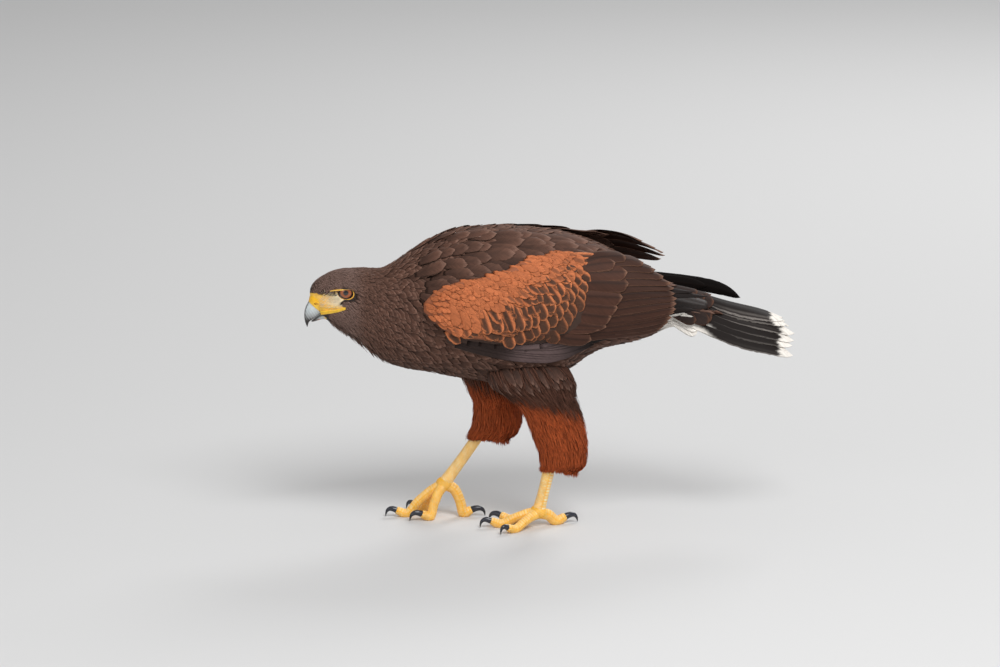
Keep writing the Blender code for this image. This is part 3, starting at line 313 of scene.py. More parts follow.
@dataclass(frozen=True)
class FeatherShape:
    """Outline and build of one kind of feather, in shares of its length and half width."""

    rows: int = 6
    columns: int = 5
    root: float = 0.4
    widest: float = 0.55
    tip_power: float = 2.3
    tip: float = 0.14
    bulge: float = 0.07
    camber: float = 0.16
    thickness: float = 0.34
    shaft: float = 0.0
    fringe: float = 0.06

    def rows_at(self) -> Array:
        """Give the share of the length at each row, closer together towards the tip."""
        return 1 - (1 - np.linspace(0, 1, self.rows)) ** 1.5

    def profile(self, share: Array) -> Array:
        """Give the half width: a quarter sine up to the widest place, then a superellipse to the tip."""
        rising = self.root + (1 - self.root) * np.sin(np.clip(share / self.widest, 0, 1) * math.pi / 2)
        falling = np.clip((share - self.widest) / (1 - self.widest), 0, 1) ** self.tip_power
        return np.maximum(rising * (1 - falling) ** (1 / self.tip_power), self.tip)


class Kind(Enum):
    """The kinds of feather on the bird."""

    FACE = FeatherShape(rows=4, columns=3, widest=0.5, tip=0.2, thickness=0.22, fringe=0.1)
    HACKLE = FeatherShape(rows=7, widest=0.45, tip_power=1.7, tip=0.1, thickness=0.26, fringe=0.14, camber=0.1)
    CONTOUR = FeatherShape(rows=8, columns=7, tip_power=2, thickness=0.3, fringe=0.09, camber=0.12)
    DOWNY = FeatherShape(columns=3, widest=0.35, tip_power=1.3, tip=0.06, thickness=0.3, fringe=0.2)
    COVERT = FeatherShape(rows=9, columns=9, widest=0.6, tip_power=2.1, thickness=0.22, fringe=0.07, camber=0.06)
    GREAT = FeatherShape(rows=18, columns=11, root=0.6, widest=0.8, tip_power=2.2, tip=0.12, thickness=0.45,
                         shaft=0.25, fringe=0.02, camber=0.12, bulge=0.03)
    PRIMARY = FeatherShape(rows=34, columns=13, root=0.6, widest=0.78, tip_power=1.9, tip=0.06, bulge=0.01,
                           thickness=0.5, shaft=0.35, fringe=0.012, camber=0.08)
    FLIGHT = replace(PRIMARY, widest=0.9, tip_power=2.1, tip=0.12, bulge=0.012)
    RECTRIX = replace(PRIMARY, rows=46, root=0.5, widest=0.62, tip_power=2.3, tip=0.2, bulge=0.012, camber=0.16,
                      shaft=0.4, fringe=0.02)
    MANTLE = FeatherShape(rows=14, columns=9, root=0.5, widest=0.7, tip_power=2, tip=0.12, thickness=0.4,
                          shaft=0.15, fringe=0.05)


@dataclass
class Feathers:
    """Feathers laid on a surface, as arrays over (feather, vertex)."""

    vertices: Array
    roots: Array
    share: Array
    across: Array
    chance: Array
    bake: Array
    barbs: Array
    shape: FeatherShape

    def tone(self, base: float, swing: float) -> Array:
        """Give each feather its own brightness: base + swing * chance."""
        return (base + swing * self.chance)[:, None, None]


Painted = list[tuple[Feathers, Callable[[Feathers], Array]]]


def quads(grid: Array) -> Array:
    """Give the quads between the places of an index grid, wound from its first axis to its second."""
    return stack(grid[:-1, :-1], grid[1:, :-1], grid[1:, 1:], grid[:-1, 1:]).reshape(-1, 4)


def feather_faces(shape: FeatherShape) -> tuple[Array, Array]:
    """Give the quads of one closed feather and the grid place of each lower vertex.

    The upper side is a grid of rows and columns. The lower side shares its border and has its own inner
    vertices, so the feather is a closed lens.
    """
    rows, columns = shape.rows, shape.columns
    grid = np.arange(rows * columns).reshape(rows, columns)
    under = grid.copy()
    inner = grid[1:-1, 1:-1].ravel()
    under[1:-1, 1:-1] = (rows * columns + np.arange(len(inner))).reshape(rows - 2, columns - 2)
    return np.concatenate([quads(grid), quads(under)[:, [0, 3, 2, 1]]]), inner


def lay_feathers(surface: Surface, roots: Array, heading: Array, length: Array, half_width: Array,
                 heights: Array, kind: Kind, rng: Rng, tilt: Array | float = 0.0) -> Feathers:
    """Lay feathers on a surface.

    A point of a feather lies at root + share * length * lie + across * half width * profile(share), taken in
    the surface's parameters, and is lifted along the normal by a height that runs from root to tip, with
    camber, tilt and the shaft's ridge added.

    Args:
        surface: What they grow from.
        roots: The two parameters of each root.
        heading: Angle of the lie from the first parameter towards the second, in radians.
        length: Length of each, in millimetres.
        half_width: Greatest half width of each, in millimetres.
        heights: Height of root and tip of each.
        kind: Outline and build.
        rng: Source of the variation between them.
        tilt: How much higher one edge lies than the middle.

    Returns:
        The feathers, ready to paint and join.
    """
    shape, number = kind.value, len(roots)
    share, across = np.meshgrid(shape.rows_at(), np.linspace(-1, 1, shape.columns), indexing="ij")
    long, half, turn = length[:, None, None], half_width[:, None, None], heading[:, None, None]
    ragged = rng.normal(0, shape.fringe, (number, *share.shape)) * across ** 2
    turned = shape.profile(share) * across * (1 + ragged) * half * surface.outward
    bulge = shape.bulge * (1 - across ** 2) * share ** 3 - shape.bulge * 0.6
    uneven = rng.normal(0, 1.2 * shape.fringe, ragged.shape) * share ** 4 * half
    reach = (share + bulge) * long + uneven
    first_scale, second_scale = (scale[:, None, None] for scale in surface.scales(*roots.T))
    first = roots[:, 0, None, None] + (reach * np.cos(turn) - turned * np.sin(turn)) / first_scale
    second = roots[:, 1, None, None] + (reach * np.sin(turn) + turned * np.cos(turn)) / second_scale
    low, high = heights[:, 0, None, None], heights[:, 1, None, None]
    height = low + (high - low) * share ** 0.8 - shape.camber * half * across ** 2
    height = height + np.reshape(tilt, (-1, 1, 1)) * across * (0.4 + 0.6 * share)
    height = height + shape.shaft * np.exp(-(across / 0.09) ** 2) * (1 - 0.7 * share)
    upper = surface.raised(first, second, height).reshape(number, -1, 3)
    _, inner = feather_faces(shape)
    body = (shape.thickness * (1 - 0.55 * share) * np.sqrt(np.clip(1 - across ** 2, 0, 1))).ravel()[inner]
    below = surface.normal(first.reshape(number, -1)[:, inner], second.reshape(number, -1)[:, inner])
    vertices = np.concatenate([upper, upper[:, inner] - below * body[:, None]], axis=1)
    share, across = (np.concatenate([value.ravel(), value.ravel()[inner]]) for value in (share, across))
    patch = stack(across, 2 * share - 1) * BAKE_PATCH / 2
    chance = rng.random(number)
    barbs = stack(across * half_width[:, None] + BARB_OFFSET, share * length[:, None] + chance[:, None] * BARB_STEP)
    return Feathers(vertices, surface.place(*roots.T), share, across, chance,
                    surface.unwrap(*roots.T)[:, None, :] + patch, barbs, shape)


class Ink:
    """The bird's colours in linear light."""

    brown: Array = linear(94, 65, 53)
    brown_edge: Array = linear(140, 108, 94)
    dark: Array = linear(34, 23, 19)
    face: Array = linear(112, 87, 79)
    face_edge: Array = linear(166, 138, 126)
    rufous: Array = linear(190, 109, 68)
    rufous_edge: Array = linear(212, 140, 94)
    spot: Array = linear(84, 56, 42)
    flight: Array = linear(70, 44, 34)
    flight_edge: Array = linear(142, 104, 84)
    thigh: Array = linear(86, 56, 44)
    trousers: Array = linear(172, 82, 42)
    black: Array = linear(22, 14, 11)
    slate: Array = linear(98, 81, 80)
    under_covert_shade: Array = linear(48, 36, 33)
    rump: Array = linear(46, 33, 29)
    rump_edge: Array = linear(128, 84, 60)
    edge_sheen: Array = linear(222, 212, 204)
    white: Array = linear(236, 230, 222)
    yellow: Array = linear(244, 190, 74)
    cream: Array = linear(242, 228, 198)
    leg: Array = linear(250, 180, 22)
    scute: Array = linear(253, 236, 190)
    claw: Array = linear(44, 46, 56)
    claw_tip: Array = linear(16, 16, 19)
    lid: Array = linear(242, 178, 66)
    lid_shadow: Array = linear(58, 40, 32)
    lid_edge: Array = linear(30, 20, 17)
    iris: Array = linear(112, 52, 18)
    iris_ray: Array = linear(176, 92, 34)
    iris_shadow: Array = linear(60, 28, 14)
    iris_rim: Array = linear(64, 30, 15)
    pupil: Array = linear(8, 6, 6)
    eyeball: Array = linear(40, 22, 15)
    brow: Array = linear(236, 186, 84)
    brow_rear: Array = linear(110, 76, 50)
    cere: Array = linear(252, 190, 26)
    cere_low: Array = linear(250, 206, 88)
    nostril: Array = linear(28, 20, 14)
    horn: Array = linear(206, 214, 216)
    horn_low: Array = linear(158, 160, 160)
    horn_tip: Array = linear(40, 33, 31)
    jaw: Array = linear(226, 178, 78)
    jaw_front: Array = linear(176, 182, 182)
    jaw_joint: Array = linear(214, 110, 48)
    jaw_tip: Array = linear(84, 78, 76)
    mouth: Array = linear(246, 196, 62)
    tongue: Array = linear(226, 120, 60)


def plain(colour: Array) -> Callable[[Array], Array]:
    """Give the paint that is one colour all over."""
    return lambda places: np.broadcast_to(colour, places.shape)


class Markings:
    """Where each colour of the bird lies, as formulas of the place in millimetres."""

    lores_top: Stations = (
        (-252, 252), (-249.5, 252.6), (-244, 253.8), (-236, 254), (-232, 255.5), (-227, 257.6), (-214, 259.1),
        (-205, 256))
    lores_low: Stations = ((-252, 231), (-241, 232.6), (-232, 235.2), (-223, 237.2), (-215, 239.6))
    lores_rear: Stations = (
        (230, -224), (236, -218.5), (240, -216.5), (243.5, -221.5), (248, -217), (256, -213), (262, -216))

    @staticmethod
    def almond(x: Array, z: Array) -> Array:
        """Give how far out of the eye's opening a place lies: 1 on its border, less inside."""
        over_x, over_z = x - EYE_CENTRE[0], z - EYE_CENTRE[2]
        reach_x = np.where(over_x < 0, EYE_FRONT, EYE_REAR)
        reach_z = np.where(over_z > 0, EYE_TOP, EYE_LOW)
        slope = EYE_SLOPE * over_x * (over_x > 0)
        return np.hypot(over_x / reach_x, (over_z + slope) / reach_z)

    @classmethod
    def bare(cls, x: Array, z: Array) -> Array:
        """Give 1 on the bare skin between bill and eye and 0 on the feathered head."""
        top = ramp(0.6, -0.6, z - along(cls.lores_top, x))
        low = ramp(-0.6, 0.6, z - along(cls.lores_low, x))
        rear = ramp(0.8, -0.8, x - along(cls.lores_rear, z))
        return top * low * rear

    @classmethod
    def skin(cls, points: Array) -> Array:
        """Colour the skin: yellow to cream on the lores, dark under the feathers and a darkened rust on the thighs,
        both painted shade in the gaps between the feathers.
        """
        x, z = points[..., 0], points[..., 2]
        centre = np.exp(-((x + 224) / 10.5) ** 2 - ((z - 248) / 7.5) ** 4)
        face = mix(Ink.yellow, Ink.cream, centre)
        # Dark and the halved trouser colour are painted shade seen through the gaps in the coat.
        coat = mix(Ink.dark, Ink.trousers * 0.5, ramp(150, 120, z))
        return mix(coat, face, cls.bare(x, z))

    @staticmethod
    def edged(feathers: Feathers, body: Array, edge: Array, width: float, amount: float) -> Array:
        """Colour feathers with a darker middle and a paler border of a given width share."""
        share, across = feathers.share, np.abs(feathers.across)
        border = np.maximum(ramp(1 - width, 1, across), ramp(1 - 0.8 * width, 1, share))
        middle = 0.82 + 0.18 * ramp(0, 0.5, across)
        return mix(body * middle[:, None], edge, border * amount) * feathers.tone(0.84, 0.32)

    @classmethod
    def trunk(cls, feathers: Feathers) -> Array:
        """Colour head, neck, breast, belly and back: brown, darker below as painted shade on the underside, buff to
        white under the tail, each feather darker towards its root as painted shade where the feathers overlap.
        """
        x, _, z = feathers.roots.T
        face = ramp(-196, -214, x)
        # The mix towards dark below is painted shade on the underside.
        body = mix(mix(Ink.brown, Ink.dark, 0.45 * ramp(215, 168, z)), Ink.face, 0.85 * face)
        vent = ramp(113, 124, x) * ramp(224, 214, z)
        body = mix(body, Ink.white, vent)
        edge = mix(mix(Ink.brown_edge, Ink.white, vent), Ink.face_edge, face)
        made = cls.edged(feathers, body[:, None, :], edge[:, None, :], 0.25, 0.55)
        # Each feather darker towards its root: painted shade where the next row overlaps it.
        return made * (0.5 + 0.55 * ramp(0.2, 0.95, feathers.share))[:, None]

    @staticmethod
    def past(x: Array, z: Array) -> Array:
        """Give how far a covert grows past the slanting line on the arm where dark middles begin."""
        return (x + 121) * 0.475 - (z - 233) * 0.88

    @classmethod
    def shoulder(cls, feathers: Feathers) -> Array:
        """Colour the arm's coverts: rufous, with dark middles past a slanting line that widen to the rear."""
        x, y, z = feathers.roots.T
        share, across = feathers.share, np.abs(feathers.across)
        rearward = feathers.across * -np.sign(y)[:, None]
        past = cls.past(x, z) + 9 * (feathers.chance - 0.5)
        spots, rear = ramp(-3, 24, past)[:, None], ramp(18, 55, past)[:, None]
        half = 0.22 + 0.5 * spots + 0.14 * rear + 0.3 * rear * (rearward < 0)
        end = ramp(1, 0.94, share + 0.03 * across)
        heart = np.exp(-(across / half) ** 8) * ramp(0.1, 0.3, share) * (end + (1 - end) * 0.8 * rear)
        heart = heart * np.clip(spots * 2.2, 0, 1)
        border = np.maximum(ramp(0.55, 1, across), ramp(0.75, 1, share))
        warm = mix(Ink.rufous, Ink.rufous_edge, 0.4 * spots * border)
        warm = mix(warm, Ink.spot * 1.3, 0.45 * rear) * feathers.tone(0.86, 0.26)
        return mix(warm, Ink.spot * feathers.tone(0.7, 0.3), heart)

    @classmethod
    def flight(cls, feathers: Feathers, shade: float) -> Array:
        """Colour great coverts, tertials and secondaries: brown with a thin pale edge and a dark shaft."""
        made = cls.edged(feathers, Ink.flight, Ink.flight_edge, 0.08, 0.85)
        return mix(made, Ink.dark, 0.5 * np.exp(-(feathers.across / SHAFT_WIDTH) ** 2)) * shade

    @staticmethod
    def primary(feathers: Feathers, shade: float = 1.0) -> Array:
        """Colour primaries: slate under the wing's edge, black towards the tips, dark brown towards the front as
        painted shade under the coverts.
        """
        x = feathers.vertices[..., 0]
        made = mix(Ink.slate, Ink.black, ramp(-10, 45, x))
        # Dark brown towards the front: painted shade where the primaries run under the coverts.
        made = mix(made, Ink.under_covert_shade, ramp(-30, -62, x))
        made = mix(made, Ink.dark, 0.7 * np.exp(-(feathers.across / SHAFT_WIDTH) ** 2))
        return made * feathers.tone(0.8, 0.4) * shade

    @staticmethod
    def rectrix(feathers: Feathers) -> Array:
        """Colour tail feathers: black with painted sheen along silvery edges and faint pale streaks, a white tip and
        a white base.
        """
        share, across, chance = feathers.share, feathers.across, feathers.chance[:, None]
        y = feathers.roots[:, 1, None]
        tip = ramp(0.885, 0.91, share + 0.012 * np.sin(9 * across + 40 * chance))
        base = np.where(np.abs(y) > 15, ramp(0.3, 0.2, share + 0.15 * across), ramp(0.16, 0.08, share))
        out = across * np.sign(y)
        # The silvery edge and the pale streak are painted sheen, where edges and vanes catch the light.
        edge = 0.7 * ramp(0.86, 0.96, out) * ramp(0.12, 0.3, share) * (0.3 + 0.7 * chance)
        streak = np.exp(-((out - 0.45 - 0.2 * chance) / 0.05) ** 2) * ramp(0.3, 0.7, share)
        made = mix(Ink.black, Ink.edge_sheen, edge + 0.16 * streak * (chance > 0.4))
        return mix(made, Ink.white, np.clip(tip + base, 0, 1))

    @staticmethod
    def thigh(feathers: Feathers) -> Array:
        """Colour the trousers: dark brown above, rusty below, each lock darker towards its root as painted shade
        between the locks.
        """
        x, _, z = feathers.roots.T
        low = ramp(154, 138, z + 0.12 * x + 8 * (feathers.chance - 0.5))
        body = mix(Ink.thigh, Ink.trousers, low)[:, None, :]
        # Darker towards the root: painted shade between the locks.
        return body * (0.74 + 0.38 * feathers.share)[:, None] * feathers.tone(0.8, 0.36)


def place_mesh(name: str, vertices: Array, faces: Array, shift: Array) -> Piece:
    """Write millimetre vertices and like faces into a new mesh object, in metres in the frame.

    Args:
        name: The piece's name.
        vertices: Places in millimetres, (vertex, 3).
        faces: Corners of quads or triangles, (face, 3 or 4).
        shift: The move from the form's own origin to the frame's, in millimetres.

    Returns:
        The object, at the origin.
    """
    mesh = bpy.data.meshes.new(name)
    corners = faces.shape[1]
    mesh.vertices.add(len(vertices))
    mesh.vertices.foreach_set("co", ((vertices + shift) * MM).astype(np.float32).ravel())
    mesh.loops.add(faces.size)
    mesh.loops.foreach_set("vertex_index", faces.astype(np.int32).ravel())
    mesh.polygons.add(len(faces))
    mesh.polygons.foreach_set("loop_start", np.arange(0, faces.size, corners, dtype=np.int32))
    mesh.polygons.foreach_set("use_smooth", np.ones(len(faces), dtype=bool))
    mesh.update(calc_edges=True)
    piece = bpy.data.objects.new(name, mesh)
    bpy.context.scene.collection.objects.link(piece)
    return piece


def set_colour(piece: Piece, colours: Array) -> None:
    """Give a piece its markings as a colour on each vertex."""
    layer = piece.data.color_attributes.new("Marking", "FLOAT_COLOR", "POINT")
    full = np.concatenate([np.clip(colours, 0, 1), np.ones((len(colours), 1))], axis=1)
    layer.data.foreach_set("color", full.astype(np.float32).ravel())


def set_map(piece: Piece, name: str, places: Array) -> None:
    """Give a piece a UV map from one place for each vertex."""
    corner = np.empty(len(piece.data.loops), dtype=np.int32)
    piece.data.loops.foreach_get("vertex_index", corner)
    layer = piece.data.uv_layers.new(name=name)
    layer.data.foreach_set("uv", places[corner].astype(np.float32).ravel())


def join_feathers(name: str, sets: Painted, shift: Array) -> Piece:
    """Join feathers, each set with its painter, into one piece with its markings, barb map and bake map."""
    parts = []
    start = 0
    for feathers, paint in sets:
        number, each = feathers.vertices.shape[:2]
        template, _ = feather_faces(feathers.shape)
        parts.append((feathers.vertices.reshape(-1, 3),
                      (template + start + np.arange(number)[:, None, None] * each).reshape(-1, 4),
                      np.broadcast_to(paint(feathers), (number, each, 3)).reshape(-1, 3),
                      feathers.bake.reshape(-1, 2), feathers.barbs.reshape(-1, 2)))
        start += number * each
    vertices, faces, colours, bake, barbs = (np.concatenate(column) for column in zip(*parts))
    piece = place_mesh(name, vertices, faces, shift)
    set_colour(piece, colours)
    set_map(piece, "OFBake", bake)
    set_map(piece, "Barbs", barbs)
    return piece


def ring_section(level: Array, tangent: Array, sides: int, flat: float = 1.0) -> Array:
    """Give round sections across tangents, their second axis scaled by flat, as spokes (ring, side, 3)."""
    upright = np.cross(level, tangent)
    turn = around(sides)[None, :, None]
    return np.cos(turn) * level[:, None] + flat * np.sin(turn) * upright[:, None]


def rounded_tube(path: Array, radii: Array, sides: int, flat: float = 1.0) -> Array:
    """Carry a round section along a path, as a closed grid (ring, side, 3).

    Each ring lies across the path's tangent; the first axis of the section is level and the second upright,
    scaled by flat. Both ends are rounded by two more rings that shrink as a quarter circle.
    """
    tangent = unit(np.gradient(path, axis=0))
    level = np.cross(tangent, (0, 0, 1))
    if np.linalg.norm(level, axis=1).min() < 0.25:
        level = np.cross(tangent, (0, 1, 0))
    section = ring_section(unit(level), tangent, sides, flat)
    rings = path[:, None] + section * radii[:, None, None]
    caps = []
    for end, sign in ((0, -1), (-1, 1)):
        for angle in (0.5, 1, 1.4):
            move = sign * math.sin(angle) * 0.7 * radii[end] * tangent[end]
            caps.append(path[end] + move + section[end] * radii[end] * math.cos(angle))
    return np.concatenate([caps[2::-1], rings, caps[3:]])


def faced_out(vertices: Array, faces: Array) -> Array:
    """Turn the faces of a closed surface outwards, by the sign of the volume inside its first three corners."""
    corner = vertices[faces]
    volume = np.einsum("ij,ij->i", corner[:, 0], np.cross(corner[:, 1], corner[:, 2])).sum()
    return faces if volume > 0 else faces[:, ::-1]


def tube_piece(name: str, grids: list[Array], shift: Array) -> Piece:
    """Join closed tubes, given as (ring, side, 3) grids, into one piece whose ends meet in a point."""
    vertices, faces = [], []
    start = 0
    for grid in grids:
        rings, sides = grid.shape[:2]
        index = np.arange(rings * sides).reshape(rings, sides)
        body = quads(np.pad(index, ((0, 0), (0, 1)), "wrap"))[:, [0, 3, 2, 1]]
        after = np.roll(index, -1, axis=1)
        low = stack(rings * sides, after[0], index[0])
        high = stack(rings * sides + 1, index[-1], after[-1])
        whole = np.concatenate([grid.reshape(-1, 3), grid[[0, -1]].mean(axis=1)])
        triangles = np.concatenate([body[:, [0, 1, 2]], body[:, [0, 2, 3]], low, high])
        faces.append(start + faced_out(whole, triangles))
        vertices.append(whole)
        start += len(whole)
    return place_mesh(name, np.concatenate(vertices), np.concatenate(faces), shift)


class Sheet:
    """A node tree with short ways to add nodes and join them."""

    def __init__(self, tree: bpy.types.NodeTree) -> None:
        self.tree = tree

    def add(self, kind: str, inputs: dict[str | int, object] | None = None, **settings: object) -> bpy.types.Node:
        """Add a node, set its options and its sockets, and join the sockets that are given another's output."""
        node = self.tree.nodes.new(kind)
        for name, value in settings.items():
            setattr(node, name, value)
        for name, value in (inputs or {}).items():
            if isinstance(value, bpy.types.NodeSocket):
                self.tree.links.new(value, node.inputs[name])
            else:
                node.inputs[name].default_value = value
        return node

    def math(self, operation: str, first: object, second: object = 0, third: object = 0) -> bpy.types.NodeSocket:
        """Add a Math node and give its output."""
        return self.add("ShaderNodeMath", {0: first, 1: second, 2: third}, operation=operation).outputs[0]

    def noise(self, vector: object, scale: object, detail: float = 2.0, rough: float = 0.5) -> bpy.types.NodeSocket:
        """Add a noise and give its value, about 0.5 in the middle."""
        inputs = {"Vector": vector, "Scale": scale, "Detail": detail, "Roughness": rough}
        return self.add("ShaderNodeTexNoise", inputs).outputs["Fac"]

    def swing(self, fine: object, slow: object, share: float, contrast: object, gain: float) -> tuple[object, object]:
        """Weigh two noises and give a tint that swings about 1 with them, and their sum."""
        both = self.math("ADD", self.math("MULTIPLY", slow, share), self.math("MULTIPLY", fine, 1 - share))
        swing = self.math("MULTIPLY", self.math("SUBTRACT", both, 0.5), contrast)
        return self.math("MAXIMUM", self.math("ADD", self.math("MULTIPLY", swing, gain), 1), LEAST_TINT), both


class SharedEffects:
    """Effects that several materials use, each built once as a node group."""

    def __init__(self) -> None:
        self.barbs = self.build_barbs()
        self.mottle = self.build_mottle()

    @staticmethod
    def new_group(name: str, inputs: dict[str, float]) -> tuple[Sheet, bpy.types.Node]:
        """Start a group with named number inputs and the outputs Tint and Height."""
        tree = bpy.data.node_groups.new(name, "ShaderNodeTree")
        for label, value in inputs.items():
            socket = tree.interface.new_socket(name=label, in_out="INPUT", socket_type="NodeSocketFloat")
            socket.default_value = value
        for label in ("Tint", "Height"):
            tree.interface.new_socket(name=label, in_out="OUTPUT", socket_type="NodeSocketFloat")
        return Sheet(tree), Sheet(tree).add("NodeGroupInput")

    def build_barbs(self) -> bpy.types.NodeTree:
        """Barbs of a feather: noise stretched along lines that leave the shaft at a slant.

        With a = distance from the shaft and s = distance along it, the noise is read at (s - slant * a, a / 6),
        fine for single barbs and four times coarser for barbs that cling together.
        """
        sheet, given = self.new_group("Feather barbs", {"Fineness": 1.6, "Contrast": 0.3, "Slant": 1.2})
        place = sheet.add("ShaderNodeSeparateXYZ", {0: sheet.add("ShaderNodeUVMap", uv_map="Barbs").outputs[0]})
        across = sheet.math("ABSOLUTE", sheet.math("SUBTRACT", place.outputs[0], BARB_OFFSET))
        lead = sheet.math("SUBTRACT", place.outputs[1], sheet.math("MULTIPLY", across, given.outputs["Slant"]))
        point = sheet.add("ShaderNodeCombineXYZ", {0: lead, 1: sheet.math("DIVIDE", place.outputs[0], 6)}).outputs[0]
        fine = sheet.noise(point, given.outputs["Fineness"], 1)
        clump = sheet.noise(point, sheet.math("MULTIPLY", given.outputs["Fineness"], 0.24), 2)
        tint, both = sheet.swing(fine, clump, 0.55, given.outputs["Contrast"], 5)
        sheet.add("NodeGroupOutput", {"Tint": tint, "Height": both})
        return sheet.tree

    def build_mottle(self) -> bpy.types.NodeTree:
        """Uneven colour and grain of skin and horn: a slow and a fine noise of the place on the object."""
        sheet, given = self.new_group("Mottle", {"Scale": 300, "Contrast": 0.3, "Grain": 1500})
        place = sheet.add("ShaderNodeTexCoord").outputs["Object"]
        slow = sheet.noise(place, given.outputs["Scale"], 3)
        fine = sheet.noise(place, given.outputs["Grain"], 2)
        tint, _ = sheet.swing(fine, slow, 0.65, given.outputs["Contrast"], 4)
        sheet.add("NodeGroupOutput", {"Tint": tint, "Height": fine})
        return sheet.tree


@dataclass(frozen=True)
class Finish:
    """One finish: its markings with a shared effect over them, and the shader's own numbers.

    The effect's numbers are fineness, contrast and slant of the barbs, or scale, contrast and grain of the mottle.
    """

    name: str
    slot: str
    barbed: bool = False
    effect: tuple[float, ...] = ()
    roughness: float = 0.6
    rough_swing: float = 0.1
    bump: float = 0.2
    bump_mm: float = 0.2
    coat: float = 0.0
    coat_roughness: float = 0.05
    scatter: float = 0.0
    specular: float = 0.5

    def build(self, effects: SharedEffects) -> bpy.types.Material:
        """Make the material: Marking times the effect's tint, uneven roughness and a bump from its height."""
        material = bpy.data.materials.new(self.name)
        material.use_nodes = True
        sheet = Sheet(material.node_tree)
        shader = material.node_tree.nodes["Principled BSDF"]
        marking = sheet.add("ShaderNodeAttribute", attribute_name="Marking").outputs["Color"]
        group = sheet.add("ShaderNodeGroup", node_tree=effects.barbs if self.barbed else effects.mottle)
        labels = ("Fineness", "Contrast", "Slant") if self.barbed else ("Scale", "Contrast", "Grain")
        for label, value in zip(labels, self.effect):
            group.inputs[label].default_value = value
        colour = sheet.add("ShaderNodeVectorMath", {0: marking, "Scale": group.outputs["Tint"]},
                           operation="SCALE").outputs[0]
        rough = sheet.math("MULTIPLY_ADD", group.outputs["Height"], self.rough_swing, self.roughness)
        bump = sheet.add("ShaderNodeBump", {"Strength": self.bump, "Distance": self.bump_mm * MM,
                                            "Height": group.outputs["Height"]}).outputs[0]
        for socket, source in (("Base Color", colour), ("Roughness", rough), ("Normal", bump)):
            sheet.tree.links.new(source, shader.inputs[socket])
        for socket, value in (("Coat Weight", self.coat), ("Coat Roughness", self.coat_roughness),
                              ("IOR", HORN_IOR), ("Subsurface Weight", self.scatter),
                              ("Subsurface Scale", SCATTER_MM * MM),
                              ("Specular IOR Level", self.specular)):
            shader.inputs[socket].default_value = value
        return material


class Finishes(Enum):
    """The finishes of the bird, each with the slot of the record that it belongs to."""

    COAT = Finish("Body feathers", "plumage", True, (1.5, 0.3), 0.62, 0.15, 0.4, 0.2, specular=0.22)
    SHOULDER = Finish("Shoulder feathers", "shoulder", True, (1.3, 0.34), 0.6, 0.15, 0.4, 0.2, specular=0.22)
    FLIGHT = Finish("Flight feathers", "flight", True, (1.1, 0.22), 0.55, 0.15, 0.4, 0.2, specular=0.2)
    BENEATH = Finish("Feather bases", "flight", False, (120, 0.2, 900), 0.6)
    TROUSERS = Finish("Trouser feathers", "trousers", True, (2, 0.5, 3), 0.66, 0.15, 0.5, 0.25, specular=0.2)
    SKIN = Finish("Bare skin", "cere", False, (260, 0.22, 1700), 0.45, 0.15, 0.35, 0.25, scatter=0.12)
    CERE = Finish("Waxy cere", "cere", False, (240, 0.16, 1300), 0.34, 0.12, 0.25, 0.2, coat=0.15,
                  coat_roughness=0.25, scatter=0.1)
    HORN = Finish("Bill horn", "horn", False, (200, 0.2, 1000), 0.24, 0.12, 0.12, 0.15, coat=0.3, coat_roughness=0.12)
    EYE = Finish("Wet eye", "eye", False, (900, 0.25, 2600), 0.12, 0.05, 0, 0.05, coat=1, coat_roughness=0.02)
    LEG = Finish("Scaled leg", "legs", False, (180, 0.2, 1500), 0.4, 0.15, 0.35, 0.2, scatter=0.08)
    CLAW = Finish("Claw horn", "claws", False, (150, 0.35, 1200), 0.2, 0.12, 0.15, 0.12, coat=0.35,
                  coat_roughness=0.1)


@dataclass
class Workshop:
    """What every sub-assembly needs: the move to the frame and the built materials."""

    shift: Array
    materials: dict[Finishes, bpy.types.Material]

    def settle(self, piece: Piece, finish: Finishes, *nodes: str) -> Piece:
        """Give a piece its material, ride it on the body and let it stand for solids."""
        piece.data.materials.append(self.materials[finish])
        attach(piece, "root")
        if nodes:
            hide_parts(*nodes)
        LOG.info("%s: %d faces", piece.name, len(piece.data.polygons))
        return piece

    def coat(self, name: str, sets: Painted, finish: Finishes, *nodes: str) -> Piece:
        """Join painted feathers into one piece and settle it."""
        return self.settle(join_feathers(name, sets, self.shift), finish, *nodes)

    def solid(self, name: str, grids: list[Array], paint: Callable[[Array], Array], finish: Finishes,
              *nodes: str) -> Piece:
        """Join closed tubes into one piece, colour it by place and settle it."""
        piece = tube_piece(name, grids, self.shift)
        set_colour(piece, paint(self.places(piece)))
        return self.settle(piece, finish, *nodes)

    def places(self, piece: Piece) -> Array:
        """Give a piece's vertices in the form's own millimetres."""
        flat = np.empty(3 * len(piece.data.vertices), dtype=np.float32)
        piece.data.vertices.foreach_get("co", flat)
        return flat.reshape(-1, 3).astype(float) / MM - self.shift


def ring_places(place: Callable[[Array, Array], Array], first: float, spacing: float, low: float, high: float,
                stagger: bool) -> Array:
    """Give the second parameters of places evenly spaced along a ring of a surface, by arc length."""
    fine = np.linspace(low, high, 241)
    points = place(np.full(fine.shape, first), fine)
    run = run_along(np.linalg.norm(np.diff(points, axis=0), axis=1))
    count = max(int(run[-1] / spacing), 3)
    targets = (np.arange(count) + (0.25 if stagger else 0.75)) / count * run[-1]
    return np.interp(targets, run, fine)


